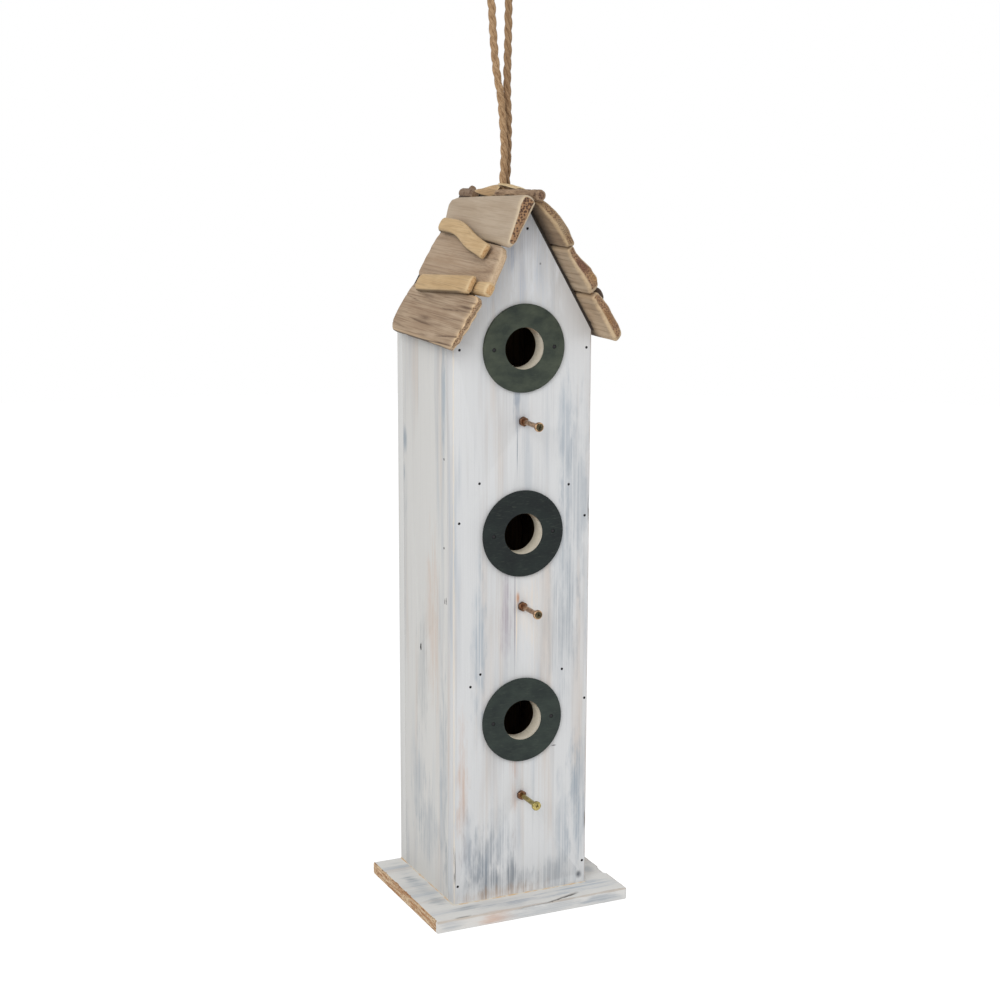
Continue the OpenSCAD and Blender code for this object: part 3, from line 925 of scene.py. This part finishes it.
first_screw, first_nut = perch_screw(), perch_nut()
coppery = yellow_zinc("yellow zinc copper bloom", "#cfab88", "#6a503c", 0.3)
brassy = yellow_zinc("yellow zinc brass", "#bfae6d", "#67603a", 0.3)
dull_nut = yellow_zinc("yellow zinc darkened", "#86634b", "#46342a", 0.42)
head_bloom = yellow_zinc("yellow zinc olive bloom", "#6a6048", "#2c2820", 0.4)
for level, z in PERCH_Z.items():
    screw = copy_of(first_screw, level + "_screw", (0, 0, z))
    coat(screw, *((brassy, brassy) if level == "lower" else (coppery, head_bloom)),
         choose=lambda face, spot: spot.y < HEAD_Y - 0.3 * HEAD_T
         and math.hypot(spot.x, spot.z - z) < 0.42 * HEAD_D)
    done(screw, None, "zinc_hardware", level + "_perch_screw")
    done(copy_of(first_nut, level + "_nut", (0, 0, z)), dull_nut, "zinc_hardware", level + "_perch_nut")
bpy.data.objects.remove(first_screw)
bpy.data.objects.remove(first_nut)


# --- carved wood -----------------------------------------------------------

BOARD_CUTS, STICK_CUTS, SHAVING_CUTS, BASE_CUTS = (78, 66, 14), (20, 60, 10), (14, 48, 3), (150, 150, 16)
SPAN_STEPS, STICK_STEPS, TWIG_STEPS, ROPE_STEPS = 40, 240, 200, 1200


def crowd(x):
    """Draws points from -1 to 1 towards both ends, where the arrises need them."""
    return math.copysign(1 - (1 - abs(x)) ** 1.5, x)


def carve(name, half, arris, corners, cuts, place, relief, under=1.0):
    """A closed rounded block worked over by hand. half is its half size in millimetres across, along
    and up, and arris how far its rounding reaches each way; corners are the radii of its outline's
    corners: front upper, front lower, back lower and back upper; place takes a point of it to the
    frame, and relief raises or lowers its surface. under is how far the end grain keeps off the
    underside."""
    piece = sliced_cube(name, cuts)
    front_up, front_low, back_low, back_up = corners
    grooves, ends, rims_worn_and_lit = [], [], []
    for point in piece.data.vertices:
        p = Vector(crowd(c) * h for c, h in zip(point.co, half))
        inner = Vector(clamp(c, a - h, h - a) for c, h, a in zip(p, half, arris))
        out = Vector((c - i) / a for c, i, a in zip(p, inner, arris)).normalized()
        at = inner + Vector(o * a for o, a in zip(out, arris))
        turn = ((front_up, back_up), (front_low, back_low))[at.x > 0][at.y > 0]
        core = Vector(clamp(at[i], turn - half[i], half[i] - turn) for i in (0, 1))
        away = at.xy - core
        if away.length > 0:
            away *= max(abs(away.x), abs(away.y)) / away.length
            at = Vector((*(core + away), at.z))
        rise, groove = relief(at, out)
        edge = min(half[0] - abs(at.x), half[2] - at.z, 1 + (half[2] + at.z - under) / under)
        on_end = clamp((abs(out.y) - 0.55) / 0.3)
        ends.append(on_end * clamp((edge - 1.0) / 1.2))
        grooves.append(groove * (1 - on_end) * (0.45 if out.z < -0.3 else 1.0))
        worn_and_lit = 0.5 + 0.5 * noise.noise((at.x / 9, at.y / 16, at.z / 5 + 31))
        worn_and_lit += 0.3 * noise.noise((at.x / 2.2, at.y / 9, at.z / 2 + 7))
        on_arris = min(1.0, (1 - max(abs(c) for c in out)) / 0.28) ** 0.6
        # The arris number is rubbed wear and painted highlight; front_highlight paints a highlight along
        # the front end's arrises.
        front_highlight = max(0.0, out.z, -out.z) * max(0.0, 1 - (at.y + half[1]) / 7) ** 1.5
        share = 0.15 + 0.3 * worn_and_lit if abs(out.y) < 0.15 else 0.35 + 0.35 * worn_and_lit
        rims_worn_and_lit.append(on_arris * share + 0.7 * worn_and_lit * front_highlight)
        point.co = Vector(place(at + out * rise)) * MM
    return shaped(piece, groove=grooves, cut_end=ends, arris=rims_worn_and_lit)


def grain_relief(seed, spacing, depth, roll, ragged):
    """Open grain of a spacing and depth, over a slow roll of the surface and ragged ends."""

    def relief(at, out):
        x, y, z = at
        swell = roll * noise.noise((x / 22, y / 34, seed + 12 + z / 20))
        end = ragged * abs(out.y) * (noise.noise((x / 5, seed, z / 3.5)) - 0.3)
        if not depth:
            return swell + end, 0.0
        bend = 0.5 * noise.noise((x / 40, y / 60, seed))
        line = noise.noise((x / spacing + bend, y / 170, seed + 5 + z / 9))
        open_here = clamp(0.4 + 1.7 * noise.noise((x / 6, y / 30, seed + 9)))
        groove = max(0.0, 1 - abs(line) / 0.13) ** 1.2 * open_here * (1 - out.y ** 2)
        return swell + end - depth * groove, groove * min(1.0, 0.25 + 0.75 * depth)

    return relief


def on_slope(side, s, y, t):
    """A point of a roof slope: side is -1 for the left one, s runs down from the ridge, t off it."""
    c, d = math.cos(PITCH * DEG), math.sin(PITCH * DEG)
    return (side * (s * c + t * d), y, APEX_Z - s * d + t * c)


def between(line, share):
    """The point or number at a share of the way through a list of them."""
    k = clamp(share) * (len(line) - 1)
    i = min(len(line) - 2, int(k))
    return line[i] + (line[i + 1] - line[i]) * (k - i)


def along_route(route, steps):
    """A smooth line through the points of a route, evenly spaced, as (point, direction) pairs, and
    its length."""
    ends = [route[0] * 2 - route[1], *route, route[-1] * 2 - route[-2]]
    line = []
    for a, b, c, d in zip(ends, ends[1:], ends[2:], ends[3:]):
        for k in range(SPAN_STEPS):
            t = k / SPAN_STEPS
            line.append(0.5 * ((2 * b) + (c - a) * t + (2 * a - 5 * b + 4 * c - d) * t * t
                               + (3 * b - a - 3 * c + d) * t ** 3))
    line.append(route[-1])
    reach = [0.0]
    for p, q in zip(line, line[1:]):
        reach.append(reach[-1] + (q - p).length)
    made, k = [], 0
    for i in range(steps + 1):
        want = reach[-1] * i / steps
        while k < len(line) - 2 and reach[k + 1] < want:
            k += 1
        share = (want - reach[k]) / max(1e-9, reach[k + 1] - reach[k])
        made.append((line[k].lerp(line[k + 1], share), (line[k + 1] - line[k]).normalized()))
    return made, reach[-1]


def along(line, share):
    """The point at a share of the way along such a line, and its direction there."""
    step = clamp(share) * (len(line) - 1)
    i = int(step)
    middle, way = line[i]
    if i < len(line) - 1:
        middle = middle.lerp(line[i + 1][0], step - i)
    return middle, way


def laid_board(side, front, back, half, crown, slant, lip):
    """Places a board's points between its front and back edges. crown is its thickness from its
    upper to its lower edge as shares of the full one, and how much of it the front edge loses; slant
    is how far the front end leans back from the underside to the face, and lip how far the face
    reaches past the lower edge."""
    front, back = [Vector(p) for p in front], [Vector(p) for p in back]
    shares, ahead = crown

    def place(at):
        u, v = (at.x / half[0] + 1) / 2, (at.y / half[1] + 1) / 2
        spot = between(front, u).lerp(between(back, u), v)
        near_front = max(0.0, 1 - v)
        thin = between(shares, u) - ahead * near_front ** 7
        lean = slant * (at.z / half[2] + 1) / 2 * near_front ** 6
        past = lip * max(0.0, 0.25 + 0.75 * at.z / half[2]) * u ** 8
        return on_slope(side, spot.x + past, spot.y + lean, BED + (half[2] + at.z) * thin)

    return place


def add_board(i, name, side, front, back, thick, arris, corners, crown, slant, grain, wood, lip=0):
    """Carves a board and lays it on the roof. The top ones are drilled for the rope."""
    wide = (front[-1][0] - front[0][0] + back[-1][0] - back[0][0]) / 4
    half = (wide, ROOF_LEN / 2, thick / 2)
    board = carve(name + "_carved", half, arris, corners, BOARD_CUTS,
                  laid_board(side, front, back, half, crown, slant, lip),
                  grain_relief(i * 7.3, *grain), 1.7 if side > 0 else 1.0)
    if name.endswith("top_board"):
        top = Vector((0, ROPE_Y, APEX_Z)) * MM
        cut(board, bar("rope_drill", 40, ROPE_HOLE_D / 2 * MM, 120 * MM, top))
    done(board, driftwood("driftwood " + name, seed=i * 3 + 2, **wood), "driftwood", name)


# The edges are (slope, y) points from a board's upper to its lower corner. The grain is its spacing,
# depth, roll and raggedness.
BOARDS = {
    "left_top_board": dict(
        side=-1, front=[(-1.4, -71.2), (14, -72.4), (41.2, -73)], back=[(9.5, 52.5), (38, 54.5)],
        thick=12.6, arris=(4.6, 2.6, 5.6), corners=(5, 5, 9, 10),
        crown=((0.86, 1, 1, 0.88, 0.74, 0.6, 0.44), 0), slant=0, grain=(9, 0, 0.4, 0.5),
        wood=dict(pale="#bcab96", dark="#a48f77", ends=("#42281a", "#a8825e"), lit_worn_rim="#dac7a8",
                  streak=0.3, cell=2.0)),
    "left_middle_board": dict(
        side=-1, front=[(41.9, -63.5), (48, -71), (56, -73.5), (67, -75), (77, -76)],
        back=[(38.6, 54.5), (80.5, 55.5)], thick=9, arris=(3, 4, 3.4), corners=(4, 3, 5, 10),
        crown=((0.9, 1, 1, 0.9), 0.4), slant=1.5, grain=(7, 0.3, 0.6, 0.9),
        wood=dict(pale="#b59f87", dark="#937659", ends=("#b79d80", "#c4ab8c"), lit_worn_rim="#cfb798",
                  streak=0.6)),
    "left_lower_board": dict(
        side=-1, front=[(85.2, -66), (90, -70), (95, -68.6), (100, -70.2), (105, -67.8),
                        (110, -68.8), (115, -66), (120, -65.4), (125, -62.2), (129.8, -62)],
        back=[(84.4, 50.5), (128.6, 58)], thick=9.4, arris=(2.6, 1.7, 2.6), corners=(4, 4, 8, 6),
        crown=((0.85, 1, 1, 0.95, 0.85, 0.65), 0), slant=-6.5, grain=(7.5, 1.2, 0.6, 3.0),
        wood=dict(pale="#b8a289", dark="#85694f", ends=("#7f634a", "#c2a381"), lit_worn_rim="#e3c6a0",
                  streak=0.85, cell=1.6, rubbed_and_lit=1.6)),
    "right_top_board": dict(
        side=1, front=[(0.6, -61), (10, -66.5), (20, -73.6), (31, -76.9), (42.2, -76.8)],
        back=[(6, 56), (43.4, 58)], thick=11, arris=(2.4, 4.6, 4.6), corners=(5, 3, 8, 8),
        crown=((0.58, 0.84, 0.98, 1, 0.98, 0.86), 0), slant=7, lip=3.8, grain=(6, 0.3, 0.8, 1.2),
        wood=dict(pale="#a58e73", dark="#6a523c", ends=("#60442f", "#a3845f"), lit_worn_rim="#bfa57f",
                  streak=0.8, knots=[((18.5, -71, 559.2), 8.5, "#6a5138", "#b39c7c")],
                  cell=1.6, rubbed_and_lit=0.9, shade_to=-46)),
    "right_middle_board": dict(
        side=1, front=[(43.4, -74.4), (52, -71.6), (60, -72.6), (68, -75.6), (76, -76.9), (85.4, -75.4)],
        back=[(44.6, 57), (86.4, 59)], thick=13, arris=(3.4, 5, 5.2), corners=(3, 8, 8, 5),
        crown=((0.62, 0.7, 0.86, 1, 1, 0.92), 0), slant=5, grain=(5.5, 0.4, 0.9, 1.3),
        wood=dict(pale="#c2ad92", dark="#8c7157", ends=("#664835", "#a5825f"), lit_worn_rim="#ceb48f",
                  streak=0.6, knots=[((38.2, -71, 530.6), 8, "#45291d", "#7d5440"),
                                     ((46.2, -70, 519.8), 6.5, "#7b5a39", "#bb9464")],
                  cell=1.6, rubbed_and_lit=0.95, shade_to=-38)),
    "right_lower_board": dict(
        side=1, front=[(86.6, -76.3), (94, -73.5), (103, -75.3), (118, -75.3), (129.8, -75.6)],
        back=[(88.6, 59), (129, 57)], thick=12.2, arris=(4, 5, 5.2), corners=(5, 6, 8, 5),
        crown=((0.68, 0.9, 1, 1, 0.97), 0), slant=7, grain=(5, 0.5, 0.7, 1.3),
        wood=dict(pale="#c6af92", dark="#927459", ends=("#694a35", "#ab8762"), lit_worn_rim="#d2b892",
                  streak=0.55, knots=[((60.6, -71, 488.1), 9, "#6b4a2f", "#a37c52")],
                  cell=1.6, rubbed_and_lit=0.95, shade_to=-36)),
}
for i, (name, board) in enumerate(BOARDS.items()):
    add_board(i, name, **board)


def laid_stick(side, line, half, bed):
    """Places a stick's points along a line on a roof slope."""

    def place(at):
        middle, way = along(line, (at.y / half[1] + 1) / 2)
        spot = middle + Vector((way.y, -way.x, 0)) * at.x
        thin = 1 - 0.25 * abs(at.x / half[0]) ** 2.2
        return on_slope(side, spot.x, spot.y, bed + (half[2] + at.z) * thin)

    return place


# Pale and dark tones, end grain and rim, the rim being rubbed wear and a painted highlight. Then
# # each stick's slope, route as (slope, y) points, width, thickness, height off the slope, slot and
# # arris.
PEELED = {
    "pale_stick": ("#d0b388", "#a98659", ("#b98f60", "#cdaa7c"), "#d9bf96"),
    # The brown twig's near-black tones are painted shade: the two right sticks lie in shadow.
    "brown_twig": ("#4c3d31", "#2e251d", ("#3c2f25", "#55443a"), "#5d4b3b"),
}
STICKS = {
    "left_wavy_stick": (-1, [(36.2, 36.5), (37.2, 7.9), (46, -26.2), (50.4, -52)],
                        12.8, 6.2, 12.45, "pale_stick", 2.4),
    "left_straight_stick": (-1, [(79.2, -54.4), (86.2, 25)], 14.6, 6.2, 11.6, "pale_stick", 2.6),
    "left_stub_stick": (-1, [(77, -72.2), (79.4, -19.6)], 11, 8.4, 2.15, "pale_stick", 3.0),
    # These two sticks are brown twigs, coloured near-black as painted shade for the shadow they lie in.
    "right_upper_stick": (1, [(56, -37.4), (45, 42)], 12, 5.4, 13.85, "brown_twig", 2.6),
    "right_lower_stick": (1, [(95.2, -47.6), (86, 44.6)], 12.6, 5.8, 13.85, "brown_twig", 2.2),
}
for i, (name, (side, route, wide, thick, bed, slot, arris)) in enumerate(STICKS.items()):
    route = [Vector(r) for r in route]
    # The route runs to the middle of each rounded end, so the stick goes half its width past it.
    ahead = (route[0] - route[1]).normalized() * wide / 2
    after = (route[-1] - route[-2]).normalized() * wide / 2
    whole = [route[0] + ahead, *route[1:-1], route[-1] + after]
    line, reach = along_route([r.to_3d() for r in whole], STICK_STEPS)
    half = (wide / 2, reach / 2, thick / 2)
    stick = carve(name + "_carved", half, [arris] * 3, [3.5] * 4, STICK_CUTS,
                  laid_stick(side, line, half, bed), grain_relief(50 + i * 4.7, 5, 0, 0.45, 0.5))
    pale, dark, ends, lit_worn_rim = PEELED[slot]
    done(stick, driftwood("peeled " + name, pale, dark, 30 + i * 5, ends, lit_worn_rim, 0.45), slot, name)


# --- ridge twigs and chips -------------------------------------------------


def over_ridge(points):
    return [Vector((x, y, APEX_Z + z)) for x, y, z in points]


def whittle(name, route, radii, rough, seed, sides=28, rows=90):
    """A round twig along a route over the ridge, its radius eased from point to point."""
    piece = bar(name, sides, turn=(QUARTER, 0, 0))
    inset_faces(piece, lambda face: abs(face.normal.y) > 0.9, 0.12, 0.3, 0.3)
    slice_along(piece, 1, rows)
    line, reach = along_route(over_ridge(route), TWIG_STEPS)
    marks, ends = [], []
    for point in piece.data.vertices:
        across, share = Vector((point.co.x, point.co.z)), (crowd(point.co.y) + 1) / 2
        middle, way = along(line, share)
        r = between(radii, share)
        side = way.cross(Vector((0, 0, 1))).normalized()
        up = side.cross(way)
        spot = Vector((across.x * 2, across.y * 2, share * 9 + seed))
        bark = rough * (noise.noise(spot) + 0.5 * noise.noise(spot * 2.7))
        near_end = min(share, 1 - share) * reach
        taper = math.sqrt(max(0.0, 1 - (1 - min(1.0, near_end / (0.45 * r) + 0.25)) ** 2))
        ends.append(float(near_end < 0.01 and across.length < 0.9))
        marks.append(max(0.0, -bark / rough * 1.5))
        out = across * (r * taper + bark * min(1.0, across.length))
        point.co = (middle + side * out.x + up * out.y) * MM
    return shaped(piece, 50, groove=marks, cut_end=ends)


twig_bark = driftwood(
    "bark-brown twig", "#ad9276", "#69503c", 61.0, ("#4b3527", "#86684f"), "#a58766", 0.8)
grey_bark = driftwood(
    "grey-brown twig", "#9c8570", "#6d5845", 67.0, ("#6e543f", "#8d7258"), "#a58d70", 0.7)
front_twig = whittle("front_twig", [
    (3.5, -67, 5.0), (2.4, -47, 4.4), (-1.5, -28.8, 4.1), (-8.2, -11.5, 3.2)],
    (4.5, 4.2, 3.8, 3.4), 0.4, 3.0)
done(front_twig, twig_bark, "brown_twig", "ridge_front_twig")
back_twig = whittle("knobbed_twig", [(-8, 54, -0.13), (-7.9, 44, 0.1), (-7.7, 31.2, 0.37)],
                    (4.3, 4.4, 4.3), 0.3, 8.0)
knob = whittle("knob", [(-7.4, 41.6, 0.6), (-6.9, 38.4, 3.4), (-6.3, 36.4, 5.6)],
               (3.3, 3.2, 2.7), 0.25, 12.0, 20, 24)
combine(back_twig, "UNION", knob)
done(back_twig, grey_bark, "brown_twig", "ridge_knobbed_twig")


def shave(name, low, high, thick, curl, seed):
    """A thin curled shaving of wood between its two long edges, each a list of points."""
    piece = sliced_cube(name, SHAVING_CUTS)
    low, high = over_ridge(low), over_ridge(high)
    rims_worn_and_lit = []
    for point in piece.data.vertices:
        a, b = crowd(point.co.x), crowd(point.co.y)
        round_off = 1 - 0.2 * abs(a) ** 3 * abs(b) ** 3
        u, v = (a * round_off + 1) / 2, (b * round_off + 1) / 2
        inner, outer = between(low, v), between(high, v)
        run = between(low, v + 0.05) - between(low, v - 0.05)
        face = run.cross(outer - inner).normalized()
        edge = max(abs(a), abs(b)) ** 6
        lift = point.co.z * thick / 2 * (1 - 0.6 * edge) + curl * (1 - a * a) * 0.5
        lift += 0.3 * noise.noise((u * 2, v * 5, seed))
        point.co = (inner.lerp(outer, u) + face * lift) * MM
        rims_worn_and_lit.append(edge)
    return shaped(piece, arris=rims_worn_and_lit)


brown_shaving = driftwood(
    "brown peeled shaving", "#cdac80", "#967551", 71.0, ("#8f6a46", "#b59468"), "#cdb389", 0.8)
pale_shaving = driftwood(
    "pale peeled shaving", "#d8c096", "#b5966a", 75.0, ("#b48a5a", "#d3b98e"), "#e2cca4", 0.5)
left_chip = shave(
    "left_shaving",
    [(-9, 27, 1.8), (-9, 15.6, 0.7), (-9, 0.5, 0.1), (-9, -9.4, 1.7), (-7.9, -13.6, 4.8)],
    [(-7.4, 29.5, 4.4), (-7, 16.9, 6.0), (-6.6, 1, 9.0), (-6.2, -10, 10.6), (-6.9, -15.6, 9.6)],
    2.0, 1.2, 3.0)
done(left_chip, brown_shaving, "pale_stick", "ridge_left_strip")
right_chip = join("right_shaving", [
    shave("lying_part", [(10.4, -28, 6.2), (10.6, -8, 5.6), (10.2, 11.4, 5.2)],
          [(3.6, -28, 8.8), (6.2, -8, 8.6), (3.8, 13, 8.8)], 1.8, 1.0, 7.0),
    shave("tongue",
          [(-7.4, -15, 10.2), (-3, -16.8, 9.6), (0.6, -18, 8.3), (4.2, -20, 7.2), (6.4, -24, 6.6)],
          [(-8.3, -13, 11.6), (-4.1, -13.2, 11.2), (0.5, -13.6, 10.9), (5, -16, 9.8), (9.4, -20.5, 7.8)],
          1.4, 0.3, 9.0)])
done(right_chip, pale_shaving, "pale_stick", "ridge_right_strip")


# --- rope ------------------------------------------------------------------

ROPE_LAY = 31
KNOT_TOP = 567.1 - APEX_Z
STRAND_OUT, STRAND_R = 1.55, 1.62
FIBRES, FIBRE_R, FIBRE_OUT = 150, 0.1, 2.75
BEND_R, BEND_MIDDLE = 13, (-4, 185.7)
UP_LEFT = [(-1.9, -2, KNOT_TOP), (-1.9, -2, 11), (-0.8, -2.1, 36), (-2.3, -1.9, 61), (-4.1, -1.5, 79),
           (-7.2, -1.2, 96), (-9.1, -0.8, 113), (-10.2, -0.4, 129), (-11, 0, 144), (-12.3, 0, 159),
           (-14.8, 0, 173)]
OVER = [(BEND_MIDDLE[0] + BEND_R * math.cos(a * DEG), 0, BEND_MIDDLE[1] + BEND_R * math.sin(a * DEG))
        for a in range(180, -1, -30)]
DOWN_RIGHT = [(6.9, 0, 173), (4.3, 0, 159), (3.2, 0, 144), (3.2, 0.3, 129), (3.1, 0.7, 113),
              (2.9, 1.2, 96), (3.1, 1.6, 79), (4, 1.9, 61), (3.9, 2.1, 36), (2.9, 1.9, 11),
              (2.9, 1.9, KNOT_TOP)]
rope_line, rope_reach = along_route(
    [Vector((x, y + ROPE_Y, z + APEX_Z)) for x, y, z in UP_LEFT + OVER + DOWN_RIGHT], ROPE_STEPS)


def rope_frames():
    """The rope's line with two directions across it that don't twist along the way."""
    side = Vector((1, 0, 0))
    made = []
    for point, way in rope_line:
        side = (side - way * side.dot(way)).normalized()
        made.append((point, side, way.cross(side)))
    return made


FRAMES = rope_frames()


def rope_point(share, out, turn):
    """A point at a share of the rope's length, out from its middle in the direction turn."""
    step = clamp(share) * ROPE_STEPS
    i = min(ROPE_STEPS - 1, int(step))
    (p, a, b), (q, c, d) = FRAMES[i], FRAMES[i + 1]
    k = step - i
    return p.lerp(q, k) + (a.lerp(c, k) * math.cos(turn) + b.lerp(d, k) * math.sin(turn)) * out


def strand(name, phase):
    """One strand of the rope: a bar with its own places around and along, wound on the rope's line."""
    piece = bar(name, 12)
    slice_along(piece, 2, 99)
    slice_along(piece, 2, 4)
    around = piece.data.uv_layers.active or piece.data.uv_layers.new(name="along")
    spots = [(math.atan2(v.co.y, v.co.x), (v.co.z + 1) / 2) for v in piece.data.vertices]
    for face in piece.data.polygons:
        places = [spots[piece.data.loops[i].vertex_index] for i in face.loop_indices]
        turns = [turn / math.tau for turn, _ in places]
        over_seam = max(turns) - min(turns) > 0.5
        for i, t, (_, share) in zip(face.loop_indices, turns, places):
            around.data[i].uv = (t + (over_seam and t < 0), share * rope_reach * MM)
    for point, (turn, share) in zip(piece.data.vertices, spots):
        flat = math.hypot(point.co.x, point.co.y)
        wound = -math.tau * share * rope_reach / ROPE_LAY + phase
        thick = STRAND_R * (1 + 0.14 * noise.noise((share * 70, phase, 1.0))) * flat
        out = STRAND_OUT * (1 + 0.16 * noise.noise((share * 38, phase, 5.0)))
        at = rope_point(share, 1.0, wound + turn) - rope_point(share, 0.0, 0.0)
        point.co = (rope_point(share, out, wound) + at * thick) * MM
    return shaped(piece)


strands = join("rope_strands", [strand(f"strand_{i}", i * math.tau / 3) for i in range(3)])
done(strands, jute("laid jute", True), "jute", "hanging_rope")


def loose_fibre(name):
    """A short stray fibre: a thin three-sided bar, bent by whoever places it."""
    piece = bar(name, 3, FIBRE_R * MM, 1)
    slice_along(piece, 2, 3)
    return piece


chance = random.Random(7)
first_fibre = loose_fibre("fibre_first")
fibres_made = []
for i in range(FIBRES):
    fibre = copy_of(first_fibre, f"fibre_{i}")
    share, turn = chance.uniform(0.01, 0.99), chance.uniform(0, math.tau)
    length, sweep, lift = chance.uniform(4, 9), chance.uniform(-0.9, -0.2), chance.uniform(0.3, 1.5)
    for point in fibre.data.vertices:
        k = point.co.z + 0.5
        middle = rope_point(share + k * length / rope_reach, FIBRE_OUT + lift * k * k, turn + sweep * k)
        point.co = (middle + Vector((point.co.x, point.co.y, 0)) / MM * (1 - 0.7 * k)) * MM
    fibres_made.append(fibre)
bpy.data.objects.remove(first_fibre)
done(join("rope_fibres", fibres_made), jute("stray jute fibre", False), "jute")
coat(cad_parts["rope_knot"], jute("knotted jute", False))


# --- base and what shows at its edges --------------------------------------

SPLIT_TURN = 12


def worn_base(at, out):
    """Rubbed arrises, a split along the front top arris and rough end grain on the left."""
    x, y, z = at
    soft = 1 - max(abs(c) for c in out)
    rise = -1.1 * soft * (0.9 + 1.4 * noise.noise((x / 9, y / 9, 2.0)))
    if out.x < -0.7:
        torn = 0.6 + 0.4 * noise.noise((y / 11, z / 6, 1.0))
        rise -= 0.45 * (1 + noise.noise((y / 3, z / 1.3, 7.0))) * torn
    if math.hypot((y + 26) / 8, (x - BASE_W / 2) / 3, (z - BASE_T / 2) / 2.6) < 1:
        rise -= 1.5
    # The split climbs the front face, crosses the arris and runs out on the top. It is followed by
    # its distance from the arris, down the face or back over the top.
    off_arris = y + BASE_D / 2 if out.z > 0.7 else z - BASE_T / 2
    past = x - SPLIT_TURN
    split_at = (0.085 if past < 0 else 0.28) * past + 0.5 * noise.noise((x / 5, 0.0, 3.0))
    reach = 1.0 + 0.045 * max(0.0, past)
    fade = max(0.0, min(1.0, (x + 16) / 8, (46 - x) / 10))
    short = max(0.0, 1 - abs(x + 62) / 8)
    cleft = (out.z > 0.7 or out.y < -0.7) * min(1.0, 1.8 * max(
        fade * max(0.0, 1 - abs(off_arris - split_at) / reach),
        short * max(0.0, 1 - abs(off_arris - 2.5) / 1.4)))
    return rise - 1.3 * cleft, cleft


def is_broken(face, spot):
    """Whether a face is on the base's rough left end, or on the top where that end is torn."""
    ragged = 1.1 + 1.1 * noise.noise((spot.y / 13, 4.0, 1.0)) + 0.9 * noise.noise((spot.y / 3, 9.0, 1.0))
    on_end = spot.x < -BASE_W / 2 + 1.0 and spot.z < BASE_T + 1 and spot.y > -67
    return on_end or spot.x < -BASE_W / 2 + ragged and spot.z > BASE_T - 1.2 and spot.y > -66


base = carve("base_board", (BASE_W / 2, BASE_D / 2, BASE_T / 2), [0.9] * 3, [1.2] * 4, BASE_CUTS,
             lambda at: (at.x, at.y, BASE_T / 2 + at.z), worn_base)
coat(base, base_coat, raw_end("broken pine end", 80.0), choose=is_broken)
done(base, None, "whitewashed_pine", "base_plate")


def glue_bead(name, start_at, end_at):
    """A thin uneven bead of glue along the foot of a wall."""
    start_at, end_at = Vector(start_at), Vector(end_at)
    way = (end_at - start_at).normalized()
    side = way.cross(Vector((0, 0, 1)))
    piece = bar(name, 10)
    slice_along(piece, 2, 90)
    for point in piece.data.vertices:
        middle = start_at.lerp(end_at, (point.co.z + 1) / 2)
        size = 0.75 + 0.6 * noise.noise((middle.x / 9, middle.y / 9, 3.0))
        point.co = (middle + side * point.co.x * size + Vector((0, 0, point.co.y * size * 0.8))) * MM
    outward(piece)
    return piece


foot = [(x, y, BASE_T) for x, y in (
    (-HALF_W, FRONT_Y), (HALF_W, FRONT_Y), (HALF_W, BACK_Y - 1.2), (-HALF_W, BACK_Y - 1.2))]
glue = join("wall_foot_glue", [
    glue_bead(f"bead_{i}", a, b) for i, (a, b) in enumerate(zip(foot, foot[1:] + foot[:1]))])
smooth(glue)
done(glue, dried_glue("dried wood glue"), "bare_pine")
